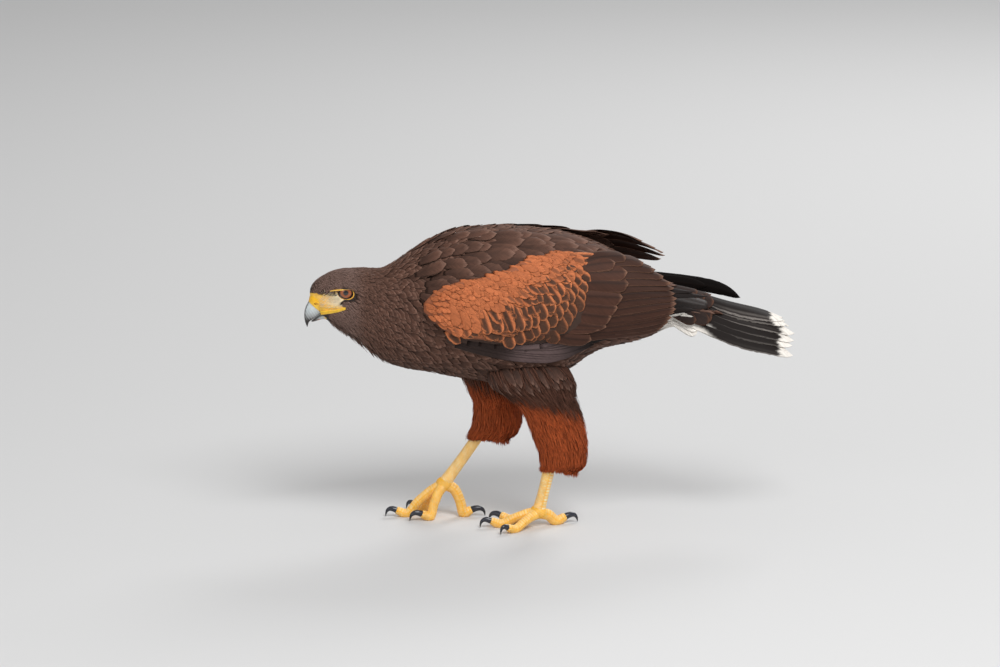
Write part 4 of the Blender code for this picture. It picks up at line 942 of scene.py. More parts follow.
def staggered(place: Callable[[Array, Array], Array], rows: Array, spacing: Array, low: float, high: float,
              rng: Rng, jitter: float = 0.25) -> Array:
    """Scatter roots in staggered rows over a surface, each moved a little at random.

    Args:
        place: The surface.
        rows: First parameter of each row.
        spacing: Distance between neighbours in each row, in millimetres.
        low: Least second parameter.
        high: Greatest second parameter.
        rng: Source of the variation.
        jitter: Size of the move, as a share of the spacing.

    Returns:
        The two parameters of each root.
    """
    found = []
    gaps = np.gradient(rows)
    for index, (first, apart) in enumerate(zip(rows, spacing)):
        second = ring_places(place, first, apart, low, high, index % 2 == 0)
        width = np.abs(np.gradient(second)).mean()
        second = second + rng.uniform(-jitter, jitter, second.shape) * width
        firsts = first + rng.uniform(-jitter, jitter, second.shape) * gaps[index]
        found.append(np.stack([firsts, second], axis=1))
    return np.concatenate(found)


def rows_by(spacing: Stations, first: float, last: float) -> Array:
    """Give row places from first to last whose steps follow a table of (place, spacing)."""
    fine = np.linspace(first, last, 2000)
    run = run_along(np.diff(fine) / along(spacing, fine[1:]))
    return np.interp(np.arange(int(run[-1]) + 1), run, fine)


TRUNK = Surface(FORM.head, 1, (FORM.forehead_x, 170), (-math.pi, math.pi))


def wing_surface(side: Side) -> Surface:
    """Give the sheath of one wing as a surface; its second parameter grows downwards from the back."""
    return Surface(lambda x, turn: FORM.sheath(x, turn, side), side.value, (-150, 205), (0, math.pi))


@dataclass
class ThighForm:
    """One thigh: height, centre x, centre y, half length and half breadth."""

    side: Side
    stations: Stations

    def place(self, z: Array, turn: Array) -> Array:
        """Place points round the thigh at a height; turn 0 faces backwards."""
        table = np.array(self.stations, dtype=float)
        middle_x, middle_y, half_x, half_y = (cubic(-table[:, 0], column, -np.asarray(z, dtype=float))
                                              for column in table.T[1:])
        return stack(middle_x + half_x * np.cos(turn), middle_y + half_y * np.sin(turn), z)

    def surface(self) -> Surface:
        """Give the thigh as a surface of height and turn."""
        return Surface(self.place, -1, (30, 190), (-math.pi, math.pi))


THIGHS = (
    ThighForm(Side.LEFT, (
        (186, -30, -30, 34, 10), (172, -26, -34, 44, 16), (158, -22, -36, 43, 19.5), (142, -10.5, -36, 32, 21),
        (124, -0.5, -34, 28, 20), (101, 6.8, -31, 26.2, 18), (80, 11.2, -28, 23.2, 14.5),
        (68, 11.5, -26.5, 21.5, 12.5), (62.5, 7, -26, 17.8, 10))),
    ThighForm(Side.RIGHT, (
        (186, -62, 30, 30, 10), (172, -61, 34, 36, 16), (156, -60, 36, 31, 20), (138, -57, 35, 25.5, 20.5),
        (121, -52, 33, 24, 19), (104, -53, 30, 23.5, 16), (92, -57, 28, 23.5, 13.5), (85.5, -63.5, 27, 20, 11))),
)


@dataclass
class Skin:
    """The skin of head, neck, trunk and thighs as one closed surface, inside the feathers."""

    inset: Stations = ((-251.5, 0.35), (-215, 0.45), (-190, 1.2), (-160, 2.6), (170, 2.8))
    sides: int = 220
    head_step: float = 0.6
    body_step: float = 4.0
    socket_depth: float = 4.5
    thigh_inset: float = 1.6

    def rows(self) -> Array:
        """Give the places of the rings: crowded at the forehead's tip, dense on the head, sparse behind."""
        front = FORM.forehead_x + np.array((0.03, 0.1, 0.22, 0.4, 0.65))
        head = np.arange(front[-1] + 0.4, -196.0, self.head_step)
        neck = np.arange(-195.0, -160.0, 1.5)
        return np.concatenate([front, head, neck, np.arange(-158.0, 168.0, self.body_step)])

    def trunk(self) -> Array:
        """Give the trunk's rings, lowered by the coat's depth and hollowed within the opening of each eye."""
        first, second = np.meshgrid(self.rows(), around(self.sides) - math.pi, indexing="ij")
        flat = TRUNK.place(first, second)
        x, z = flat[..., 0], flat[..., 2]
        opening = Markings.almond(x, z)
        depth = along(self.inset, first) + self.socket_depth * ramp(1.02, 0.72, opening)
        folds = 0.22 * np.sin(1.9 * z + 0.8 * x) * np.sin(0.9 * x)
        return TRUNK.raised(first, second, folds * Markings.bare(x, z) * ramp(1, 1.5, opening) - depth)

    def thigh(self, form: ThighForm) -> Array:
        """Give one thigh's rings, lowered by the depth of its coat."""
        first, second = np.meshgrid(path_points(form.stations, 44)[:, 0], around(72), indexing="ij")
        return form.surface().raised(first, second, np.full(first.shape, -self.thigh_inset))

    def build(self, shop: Workshop) -> Piece:
        """Fuse trunk and thighs, colour the skin by place and unwrap it as its feathers are."""
        skin = tube_piece("skin", [self.trunk()], shop.shift)
        limbs = [tube_piece("skin_thigh", [self.thigh(form)], shop.shift) for form in THIGHS]
        for limb in limbs:
            union = skin.modifiers.new("union", "BOOLEAN")
            union.operation, union.solver, union.object = "UNION", "EXACT", limb
        bpy.context.view_layer.update()
        graph = bpy.context.evaluated_depsgraph_get()
        fused = bpy.data.meshes.new_from_object(skin.evaluated_get(graph))
        skin.modifiers.clear()
        skin.data = fused
        for limb in limbs:
            bpy.data.objects.remove(limb, do_unlink=True)
        skin.data.shade_smooth()
        places = shop.places(skin)
        set_colour(skin, Markings.skin(places))
        turn = np.arctan2(places[:, 1], places[:, 2] - FORM.read(FORM.waist, places[:, 0]))
        set_map(skin, "OFBake", TRUNK.unwrap(places[:, 0], turn))
        return shop.settle(skin, Finishes.SKIN, "head", "neck", "torso", "thigh_left", "thigh_right")


@dataclass
class TrunkCoat:
    """The small feathers of head, neck, breast, belly, back and vent."""

    step: Stations = (
        (-252, 1.15), (-215, 1.5), (-200, 1.9), (-180, 2.9), (-150, 4.6), (-100, 6.4), (0, 7), (112, 7), (166, 5.5))
    length: Stations = (
        (-252, 3), (-238, 3.8), (-222, 5), (-205, 7), (-185, 11), (-160, 18), (-120, 25), (-60, 28), (60, 26),
        (112, 26), (166, 22))
    slender: Stations = ((-252, 0.2), (-215, 0.2), (-185, 0.2), (-150, 0.22), (-60, 0.25), (166, 0.28))
    root_height: Stations = ((-252, -0.25), (-215, -0.3), (-185, -0.8), (-150, -1.9), (166, -2))
    tip_height: Stations = (
        (-252, 0.45), (-215, 0.6), (-185, 0.9), (-150, 1.3), (-60, 1.6), (30, 1), (90, 0.8), (166, 1.6))

    def roots(self, rng: Rng) -> Array:
        """Scatter roots over the whole trunk and drop those on bare skin or under the wings."""
        rows = rows_by(self.step, FORM.forehead_x + 0.8, 165)
        apart = 1.35 * along(self.length, rows) * along(self.slender, rows)
        places = staggered(TRUNK.place, rows, apart, -math.pi, math.pi, rng)
        x, _, z = TRUNK.place(*places.T).T
        keep = (Markings.bare(x, z) < 0.45) & (Markings.almond(x, z) > 1.16)
        # Bare as well: beneath the cere, the lower bill and the wings, and on top of the tail's root.
        keep &= ~((x < -236 - 0.32 * (z - 235.6)) & (z < 253.4) & (z > 222))
        keep &= ~((z < 232) & (z > 223) & (x < -235.5))
        keep &= ~((x > -104) & (x < 36) & (z > 224) & (z < 262))
        keep &= ~((x > 114) & (np.abs(places[:, 1]) < 0.62 * math.pi))
        return places[keep]

    def lay(self, roots: Array, rng: Rng, kind: Kind) -> Feathers:
        """Lay feathers back along the body, falling towards the belly on the sides."""
        x, turn = roots.T
        fall = np.radians(along(((-252, 16), (-200, 20), (-150, 26), (-60, 14), (166, 4)), x))
        heading = np.sign(turn) * fall * np.sin(np.abs(turn)) + rng.normal(0, 0.13, len(x))
        chin = ramp(2.2, 2.8, np.abs(turn)) * ramp(-170, -200, x) * ramp(-238, -230, x)
        length = along(self.length, x) * rng.uniform(0.85, 1.15, len(x)) * (1 + 1.1 * chin)
        half = along(self.length, x) * along(self.slender, x) * rng.uniform(0.88, 1.12, len(x))
        lift = rng.normal(0, 0.16, len(x)) * along(self.tip_height, x) + (0.3 + 4.2 * rng.random(len(x)) ** 2) * chin
        heights = stack(along(self.root_height, x), along(self.tip_height, x) + lift)
        tilt = rng.normal(0, 0.06, len(x)) * half
        return lay_feathers(TRUNK, roots, heading, length, half, heights, kind, rng, tilt)

    def build(self, shop: Workshop) -> None:
        """Lay and paint the coat in pieces by region, each with the kind of feather that grows there."""
        rng = np.random.default_rng(SEED)
        roots = self.roots(rng)
        x = roots[:, 0]
        for name, first, last, kind in (
                ("face", -260, -214, Kind.FACE), ("head", -214, -188, Kind.FACE),
                ("neck", -188, -150, Kind.HACKLE), ("breast", -150, -60, Kind.HACKLE),
                ("belly", -60, 40, Kind.CONTOUR), ("rump", 40, 170, Kind.CONTOUR)):
            feathers = self.lay(roots[(x >= first) & (x < last)], rng, kind)
            shop.coat("coat_%s" % name, [(feathers, Markings.trunk)], Finishes.COAT)


@dataclass(frozen=True)
class Slab:
    """A crowned slab on a wing's sheath: side-view edges, thickness, height of its underside and columns."""

    upper: Stations
    lower: Stations
    thickness: Stations
    base: float
    columns: int

    def turn(self, x: Array, across: Array, side: Side) -> Array:
        """Give the turn at a share of the way from the upper to the lower edge."""
        top, bottom = (FORM.sheath_turn(x, FORM.read(edge, x), side) for edge in (self.upper, self.lower))
        return top + (bottom - top) * across

    def depth(self, x: Array, across: Array) -> Array:
        """Give the thickness: full in the middle, a quartic crown across and thinner ends."""
        first, last = self.upper[0][0], self.upper[-1][0]
        end = np.minimum(1, 0.35 + 7 * np.minimum(x - first, last - x) / (last - first))
        crown = 0.3 + 0.7 * np.sqrt(np.clip(1 - (2 * across - 1) ** 4, 0, 1))
        return FORM.read(self.thickness, x) * np.clip(end, 0, 1) * crown

    def height(self, x: Array, turn: Array, side: Side) -> Array:
        """Give the height of the top over the sheath, falling away past the edges."""
        top, bottom = (self.turn(x, share, side) for share in (0, 1))
        across = np.clip((turn - top) / (bottom - top), 0, 1)
        return self.base + self.depth(np.clip(x, self.upper[0][0], self.upper[-1][0]), across)

    def rings(self, side: Side) -> Array:
        """Give closed rings round the slab, from its front end to its rear end."""
        first, last = self.upper[0][0], self.upper[-1][0]
        x, across = np.meshgrid(first + (last - first) * np.linspace(0, 1, 40),
                                (1 - np.cos(np.linspace(0, math.pi, self.columns))) / 2, indexing="ij")
        turn, surface = self.turn(x, across, side), wing_surface(side)
        outer = surface.raised(x, turn, self.base + self.depth(x, across))
        inner = surface.raised(x, turn, np.full(turn.shape, self.base))
        return np.concatenate([outer, inner[:, ::-1][:, 1:-1]], axis=1)


@dataclass
class Wing:
    """One folded wing: a dark core, its coverts, tertials, secondaries and the hand's primaries."""

    side: Side
    primaries: Stations
    arm: Slab = Slab(
        ((-134, 249), (-122, 261), (-95, 272), (-67, 276.5), (-50, 281.5), (-36, 288), (-8, 294), (15, 294.5),
         (44, 289)),
        ((-134, 240), (-120, 227), (-104, 217), (-80, 213), (-40, 212), (0, 214), (24, 219), (44, 232)),
        ((-134, 3), (-110, 6.2), (-60, 7), (-20, 6.4), (15, 4.6), (44, 2.2)), 3.9, 24)
    hand: Slab = Slab(
        ((-112, 222), (-80, 220), (-30, 219), (20, 222), (40, 224)),
        ((-112, 208), (-95, 199), (-46, 187), (-12, 183), (10, 186.5), (40, 206)), ((-112, 1.3), (40, 1.3)), 0.5, 16)
    tertials: Stations = ((8, 284, 76, 288, 9), (6, 276, 98, 279, 10), (4, 268, 113, 270, 11), (2, 259, 122, 262, 11))
    secondaries: Stations = (
        (0, 250, 126, 258, 9.5), (0, 240.5, 129.5, 248, 9.5), (0, 231, 129, 237, 9.5), (0, 220.5, 123.5, 225.5, 9),
        (0, 211, 114, 216, 8.5))
    great: Stations = (
        (16, 281, 64, 283, 9.5), (20, 272, 79, 268, 11.5), (14, 254, 70, 249, 11), (8, 241, 60, 234, 10.5),
        (0, 228, 52, 220, 10), (-10, 219, 38, 207.5, 9.5))
    median: Stations = (
        (16, 290, 46, 288, 6.5), (10, 286, 41, 279, 7), (8, 276, 36, 262, 7.5), (9, 266, 32, 245, 7.5),
        (0, 258, 19, 233, 7.5), (-7, 247, 9, 219.5, 7.5), (-20, 238, -7, 208.5, 7.5), (-33, 233, -21, 203.5, 7.5),
        (-50, 230, -38, 202, 7), (-70, 228, -60, 201, 7), (-88, 228, -79, 206, 6.5), (-103, 230, -96, 213, 6))
    blade_line: Stations = ((40, 262), (100, 256), (130, 252.5), (157, 248.5), (188, 241), (207, 231.5))
    last_row: Stations = ((-134, 204), (-100, 224), (-60, 236), (-30, 250), (0, 272), (12, 284))
    covert_length: Stations = ((-134, 9), (-100, 12), (-60, 15), (12, 18))

    def lay(self, rows: Array, levels: Callable[[Array, Array, Array, Array], Array], kind: Kind,
            rng: Rng, shingle: float, uneven: float) -> Feathers:
        """Lay straight feathers from rows of (root x, root z, tip x, tip z, half width).

        Args:
            rows: One row for each feather, on the left wing.
            levels: Gives heights of root and tip from the x and the turn of both.
            kind: Outline and build.
            rng: Source of the variation between them.
            shingle: How much higher the lower edge of each lies than its middle.
            uneven: Largest share by which a half width varies.

        Returns:
            The feathers.
        """
        surface = wing_surface(self.side)
        x, z, tip_z = rows[:, 0], rows[:, 1], rows[:, 3]
        tip_x = rows[:, 2] + rng.uniform(-1, 1, len(rows))
        turn = FORM.sheath_turn(x, z, self.side)
        tip_turn = FORM.sheath_turn(tip_x, tip_z + FORM.lift(tip_x, self.side), self.side)
        _, scale = surface.scales((x + tip_x) / 2, (turn + tip_turn) / 2)
        reach, fall = tip_x - x, (tip_turn - turn) * scale
        half = rows[:, 4] * (rng.uniform(1 - uneven, 1 + uneven, len(rows)) if uneven else 1)
        return lay_feathers(surface, stack(x, turn), np.arctan2(fall, reach), np.hypot(reach, fall), half,
                            levels(x, turn, tip_x, tip_turn), kind, rng, self.side.value * shingle)

    def tier(self, stations: Stations, count: int, root: float, tip: float, kind: Kind,
             rng: Rng, shingle: float = 1.0) -> Feathers:
        """Lay one tier of long feathers, each a little lower than the one above."""
        rows = path_points(stations, count)
        step = np.linspace(0.3, -0.3, count)
        return self.lay(rows, lambda *_: stack(root + step, tip + step), kind, rng, shingle, 0.04)

    def coverts(self, rng: Rng) -> Feathers:
        """Cover the arm with small feathers that grow and turn downwards to the rear."""
        surface = wing_surface(self.side)
        found = []
        for index, x in enumerate(np.arange(-133.0, 11.0, 4.4)):
            top, low = (float(self.arm.turn(x, share, self.side)) for share in (-0.04, 0.94))
            found.append(stack(x, ring_places(surface.place, x, 4.4, top, low, index % 2 == 0)))
        roots = np.concatenate(found)
        roots += rng.uniform(-1, 1, roots.shape) * (1.2, 0.03)
        past = Markings.past(*surface.place(*roots.T).T[[0, 2]])
        roots = roots[rng.random(len(roots)) < 1 - 0.74 * ramp(0, 26, past)]
        z = surface.place(*roots.T)[:, 2]
        keep = z > along(self.last_row, roots[:, 0])
        (x, turn), z = roots[keep].T, z[keep]
        fall = np.radians(along(((205, 58), (225, 54), (250, 44), (270, 32), (288, 18)), z))
        fall = fall * along(((-134, 0.3), (-90, 0.85), (-50, 1), (34, 1)), x)
        large = ramp(-6, 26, Markings.past(x, z))
        length = (along(self.covert_length, x) + 10 * large) * rng.uniform(0.9, 1.15, len(x))
        length *= 1 - 0.4 * ramp(-14, 8, x)
        _, scale = surface.scales(x, turn)
        tip_turn = turn + np.sin(fall) * length / scale
        tip_x = x + np.cos(fall) * length
        levels = stack(self.arm.height(x, turn, self.side) - 0.3, self.arm.height(tip_x, tip_turn, self.side) + 2.6)
        levels[:, 1] += rng.normal(0, 0.15, len(x)) - 0.9 * (1 - large) * ramp(0, -60, x)
        heading = fall + rng.normal(0, 0.1, len(x)) * (1 - 0.6 * large)
        return lay_feathers(surface, stack(x, turn), heading, length, (0.2 + 0.13 * large) * length, levels,
                            Kind.COVERT, rng, rng.normal(0, 0.3, len(x)) + 0.5 * self.side.value * large)

    def medians(self, rng: Rng) -> Feathers:
        """Lay three rows of large median coverts, each half a feather on and over the one below."""
        lower = path_points(self.median, 21)
        tiers = (lower, (lower[1:] + lower[:-1]) / 2.0 + np.array((-7.0, 11.0, -7.0, 11.0, -0.3)),
                 lower[1:-1] + np.array((-13.0, 21.0, -13.0, 21.0, -0.9)))
        rows = np.concatenate(tiers)
        rows[:, :4] += rng.normal(0, 0.6, (len(rows), 4))
        over = np.repeat((1.6, 2.2, 2.8), [len(tier) for tier in tiers])
        keep = rows[:, 1] < along(self.arm.upper, rows[:, 0]) + 1
        rows, over = rows[keep], over[keep]
        rows[:, 1] += FORM.lift(rows[:, 0], self.side)

        def levels(x: Array, turn: Array, tip_x: Array, tip_turn: Array) -> Array:
            return stack(self.arm.height(x, turn, self.side) + 0.5,
                         self.arm.height(tip_x, tip_turn, self.side) + over)

        return self.lay(rows, levels, Kind.GREAT, rng, -0.9, 0)

    def blade(self, rng: Rng) -> Feathers:
        """Lay the far wing's two longest primaries, which stand out behind the body on their own."""
        surface = Surface(lambda x, z: stack(x, 34 - 0.06 * (x - 40), z + along(self.blade_line, x)), 1,
                          (40, 210), (-10, 10))
        return lay_feathers(surface, np.array([(60.0, 0.0), (52.0, -3.0)]), np.array([0.0, 0.02]),
                            np.array([146.0, 118.0]), np.array([7.6, 7.0]), np.array([(0.0, 0.0), (1.2, 1.2)]),
                            Kind.PRIMARY, rng, 0.4)

    def paint_core(self, places: Array) -> Array:
        """Colour the core as darkened copies of the feathers over it, painted shade in the gaps between them: rufous
        brown on the arm and slate on the hand below.
        """
        x, _, z = places.T
        # Colours times 0.6 and 0.5: painted shade under the feathers.
        arm = mix(Ink.rufous * 0.6, Ink.spot * 0.5, ramp(-30, 0, x))
        hand = mix(Ink.spot * 0.6, Ink.black, ramp(-20, 30, x))
        return mix(arm, hand, ramp(2, -2, z - along(self.arm.lower, x)))

    def build(self, shop: Workshop) -> None:
        """Build the core, lay every tier and give each piece its paint."""
        rng = np.random.default_rng(SEED + 7 + self.side.value)
        word = self.side.word
        shop.solid("wing_core_%s" % word, [slab.rings(self.side) for slab in (self.arm, self.hand)],
                   self.paint_core, Finishes.BENEATH)
        sets = []
        for stations, count, root, tip, kind, shade in (
                (self.secondaries, 9, 5.5, 5.9, Kind.FLIGHT, 0.8),
                (self.tertials, 5, 5.6, 7.4, Kind.FLIGHT, 0.9), (self.great, 9, 5.2, 8.7, Kind.GREAT, 1.1)):
            sets.append((self.tier(stations, count, root, tip, kind, rng), partial(Markings.flight, shade=shade)))
        shop.coat("wing_flight_%s" % word, sets, Finishes.FLIGHT)
        sets = [(item, Markings.shoulder) for item in (self.coverts(rng), self.medians(rng))]
        shop.coat("wing_coverts_%s" % word, sets, Finishes.SHOULDER, "wing_%s_arm" % word)
        sets = [(self.tier(self.primaries, len(self.primaries), 2.6, 2.9, Kind.PRIMARY, rng, 0.5), Markings.primary)]
        if self.side is Side.RIGHT:
            # The blade's colour times 0.6 is painted shade on the far wing.
            sets.append((self.blade(rng), partial(Markings.primary, shade=0.6)))
        shop.coat("wing_primaries_%s" % word, sets, Finishes.FLIGHT, "wing_%s_hand" % word)


HAND = (
    (-46, 200, 96, 220, 7.5), (-62, 202, 64, 211, 7), (-78, 205, 42, 202, 7), (-90, 207, 28, 196, 7),
    (-102, 206, 16, 191, 6.5))
WINGS = (
    Wing(Side.LEFT, (
        (8, 214, 150, 252, 7.5), (0, 208, 163, 246.5, 8), (-14, 201, 151, 239, 7.5),
        (-30, 199, 122, 229, 7.5)) + HAND),
    Wing(Side.RIGHT, (
        (14, 228, 176, 238, 7.5), (8, 220, 152, 238, 7.5), (-4, 209, 136, 236, 7.5),
        (-14, 201, 122, 229, 7.5)) + HAND,
         tertials=((0, 289, 96, 285, 9), (-4, 283, 114, 276, 10), (-8, 276, 122, 268, 11), (-10, 268, 120, 261, 11)),
         secondaries=(
             (0, 246, 112, 254, 9.5), (0, 238.5, 118.5, 246, 9.5), (0, 231, 120, 237, 9.5),
             (0, 220.5, 119.5, 225.5, 9), (0, 211, 112, 216, 8.5)),
         great=((16, 281, 58, 284, 9.5), (20, 272, 66, 268, 11.5), (14, 254, 62, 249, 11)) + Wing.great[3:]),
)


@dataclass
class Scapulars:
    """The mantle feathers that lie over the top edge of both wings."""

    side: Side
    lowest: Stations = (
        (-128, 252, 20), (-112, 262, 22), (-95, 268, 26), (-78, 276, 30), (-58, 281, 34), (-38, 288, 36),
        (-16, 295, 38), (8, 299, 40), (26, 299, 42))
    tiers: int = 5

    def build(self, shop: Workshop) -> None:
        """Lay tiers from the back down to the wing's edge, each row shifted by half a feather."""
        rng = np.random.default_rng(SEED + 20 + self.side.value)
        found = []
        for tier in range(self.tiers):
            rows = path_points(self.lowest, 12) + rng.normal(0, 1, (12, 3)) * (2.5, 1.2, 2.5)
            x = rows[:, 0] + (6.5 if tier % 2 else 0) - 1.5 * tier
            low = rows[:, 1] + FORM.lift(x, self.side)
            z = low + (FORM.sheath_values(x, self.side)[0] - 1 - low) * (tier + 0.35) / self.tiers
            found.append(stack(x - 14, FORM.sheath_turn(x - 14, z, self.side), rows[:, 2], float(tier)))
        x, turn, size, tier = np.concatenate(found).T
        number = len(x)
        length = 1.35 * size * rng.uniform(0.88, 1.12, number) * (1 - 0.04 * tier)
        half = 0.24 * size * rng.uniform(0.92, 1.08, number)
        heading = np.radians(13 - 3.5 * tier) + rng.normal(0, 0.08, number)
        tip = 2 + 4.2 * 0.62 ** tier
        levels = stack(0.4 * tip - 0.8, tip + rng.normal(0, 0.2, number))
        feathers = lay_feathers(wing_surface(self.side), stack(x, turn), heading, length, half, levels,
                                Kind.MANTLE, rng, rng.normal(0, 0.8, number))
        shop.coat("scapulars_%s" % self.side.word, [(feathers, Markings.trunk)], Finishes.COAT)


@dataclass
class Tail:
    """Twelve tail feathers on an arched fan, with coverts over and under their roots."""

    crown: Stations = ((112, 258), (127, 252), (159, 242.5), (190, 232.5), (227, 222), (257, 208))
    half: Stations = ((112, 20), (127, 21), (159, 25), (200, 33), (257, 42))
    droop: Stations = ((112, 26), (127, 29), (159, 32), (204, 33), (257, 30))
    arch: float = 1.7
    per_side: int = 6
    first_x: float = 118.0
    tips: tuple[float, ...] = (246, 250, 256.5, 255, 253.5, 252)
    vane_half: float = 8.8

    def fan(self, x: Array, across: Array) -> Array:
        """Place points on the fan: its sides droop as a power of the way across, from -1 to 1."""
        width, fall = FORM.read(self.half, x), FORM.read(self.droop, x)
        return stack(x, width * across, FORM.read(self.crown, x) - fall * np.abs(across) ** self.arch)

    def surface(self, outward: int) -> Surface:
        """Give the fan's upper or under surface."""
        return Surface(self.fan, outward, (100, 260), (-1.3, 1.3))

    def rectrices(self, rng: Rng) -> Feathers:
        """Lay the twelve long feathers, each one's outer edge over the next."""
        index = np.arange(self.per_side)
        place = np.concatenate([-(index + 0.5), index + 0.5]) / (self.per_side + 0.1)
        order = np.tile(index, 2)
        reach = np.array(self.tips)[order] - self.first_x + rng.uniform(-0.8, 0.8, 12)
        scale, _ = self.surface(1).scales(self.first_x, place)
        high = 1.6 - 0.3 * order + ((place > 0) & (order == 0))
        return lay_feathers(self.surface(1), stack(self.first_x, place), rng.normal(0, 0.006, 12), reach * scale,
                            np.full(12, self.vane_half), stack(high - 2, high), Kind.RECTRIX, rng,
                            np.sign(place) * 1.7)

    def coverts(self, rng: Rng, under: bool) -> Feathers:
        """Lay the coverts over or under the tail's root in three rows."""
        start, reach, least, most, root, tip, outward = (
            (100, 0.95, 34, 46, 4, 3, -1) if under else (98, 0.75, 50, 58, 1, 4.4, 1))
        x, place, row = np.concatenate([stack(start + 12 * row, np.linspace(-reach, reach, 9 + row % 2), float(row))
                                        for row in range(3)]).T
        number = len(x)
        length = rng.uniform(least, most, number)
        heights = stack(root, tip - 0.5 * row + rng.normal(0, 0.2, number))
        return lay_feathers(self.surface(outward), stack(x, place), rng.normal(0, 0.05, number), length,
                            np.full(number, 7.4), heights, Kind.PRIMARY, rng)

    def vent(self, rng: Rng) -> Feathers:
        """Lay the loose white feathers that hang below the tail's root."""
        roots = staggered(TRUNK.place, np.arange(110.0, 128.0, 4.5), np.full(4, 6.0),
                          0.62 * math.pi, 1.38 * math.pi, rng)
        number = len(roots)
        heights = stack(-1, rng.uniform(2.5, 6.5, number))
        return lay_feathers(TRUNK, roots, rng.normal(0, 0.14, number), rng.uniform(22, 36, number),
                            np.full(number, 5.0), heights, Kind.HACKLE, rng)

    def stump(self) -> Array:
        """Give the fleshy root of the tail as closed rings that narrow from the rump."""
        share, turn = np.meshgrid(np.linspace(0, 1, 16), around(48) - math.pi, indexing="ij")
        x = 96 + 60 * share
        middle = stack(x, 0, FORM.read(self.crown, x) - 14)
        return middle + (FORM.trunk(x, turn) - middle) * (0.86 - 0.6 * share ** 2)[..., None]

    def build(self, shop: Workshop) -> None:
        """Build root, feathers and coverts."""
        rng = np.random.default_rng(SEED + 31)
        # The tail's root is painted dark all over: painted shade under its coverts.
        shop.solid("tail_root", [self.stump()], plain(Ink.dark), Finishes.SKIN)
        shop.coat("tail_feathers", [(self.rectrices(rng), Markings.rectrix)], Finishes.FLIGHT, "tail")
        dark = partial(Markings.edged, body=Ink.rump, edge=Ink.rump_edge, width=0.09, amount=0.4)
        # White times 0.95 and 0.85: painted shade beneath the tail.
        white, pale = (partial(Markings.edged, body=Ink.white * shade, edge=Ink.white, width=0.2, amount=0.5)
                       for shade in (0.95, 0.85))
        shop.coat("tail_coverts", [(self.coverts(rng, False), dark), (self.coverts(rng, True), white),
                                   (self.vent(rng), pale)], Finishes.COAT)


@dataclass
class Trousers:
    """The hair-like feathers of one thigh, longest and loosest at the rear and below, and the flank over it."""

    form: ThighForm
    step: float = 4.4
    apart: float = 3.0
    length: float = 26.0
    half: float = 2.6
    hem_front: float = 2.5
    hem_rear: float = 9.0

    def layer(self, rng: Rng, rows: Array, apart: float, long: float, half: float, tip: float,
              kind: Kind) -> Feathers:
        """Lay one layer that hangs down, with tips that end on a hem a little below the thigh's last ring."""
        surface = self.form.surface()
        roots = staggered(surface.place, rows, np.full(len(rows), apart), -math.pi, math.pi, rng, 0.4)
        roots = roots[~self.inside_trunk(*surface.place(*roots.T).T)]
        number = len(roots)
        z, turn = roots.T
        rear = np.cos(turn)
        heading = math.pi + np.sign(turn) * 0.12 + rng.normal(0, 0.1, number)
        hem = self.form.stations[-1][0] - self.hem_front - (self.hem_rear - self.hem_front) * ramp(-0.2, 0.9, rear)
        length = long * rng.uniform(0.8, 1.15, number) * (1 + 0.12 * rear)
        length = np.clip(np.minimum(length, z - hem + rng.uniform(-2.5, 1, number)), 4, None)
        lift = tip + 1.2 * np.clip(rear, 0, 1) + rng.normal(0, 0.3, number)
        return lay_feathers(surface, roots, heading, length, half * rng.uniform(0.8, 1.2, number),
                            stack(-1.2, lift * length / long), kind, rng)

    def build(self, shop: Workshop) -> None:
        """Lay broad locks, fine hairs over them and the flank's soft feathers over the thigh's top."""
        rng = np.random.default_rng(SEED + 40 + self.form.side.value)
        high, low = self.form.stations[0][0], self.form.stations[-1][0]
        locks = self.layer(rng, np.arange(high - 2.0, low + 1.0, -self.step), self.apart, self.length, self.half, 1.9,
                           Kind.DOWNY)
        fine = self.layer(rng, np.arange(high - 2.0, low + 1.0, -0.7 * self.step), 0.8 * self.apart, self.length,
                          0.4 * self.half, 2.8, Kind.DOWNY)
        flank = self.layer(rng, np.arange(high + 3.0, high - 17.0, -5.0), 5.5, 25.0, 4.0, 3.0, Kind.HACKLE)
        word = self.form.side.word
        shop.coat("trousers_%s" % word, [(locks, Markings.thigh), (fine, Markings.thigh)], Finishes.TROUSERS)
        shop.coat("flank_%s" % word, [(flank, Markings.trunk)], Finishes.COAT)

    @staticmethod
    def inside_trunk(x: Array, y: Array, z: Array) -> Array:
        """Say which places lie well inside the trunk's oval section."""
        top, waist, low, width = FORM.trunk_values(x)
        reach = np.where(z > waist, top - waist, waist - low)
        return (np.abs(y) / width) ** FORM.power + (np.abs(z - waist) / reach) ** FORM.power < 0.92


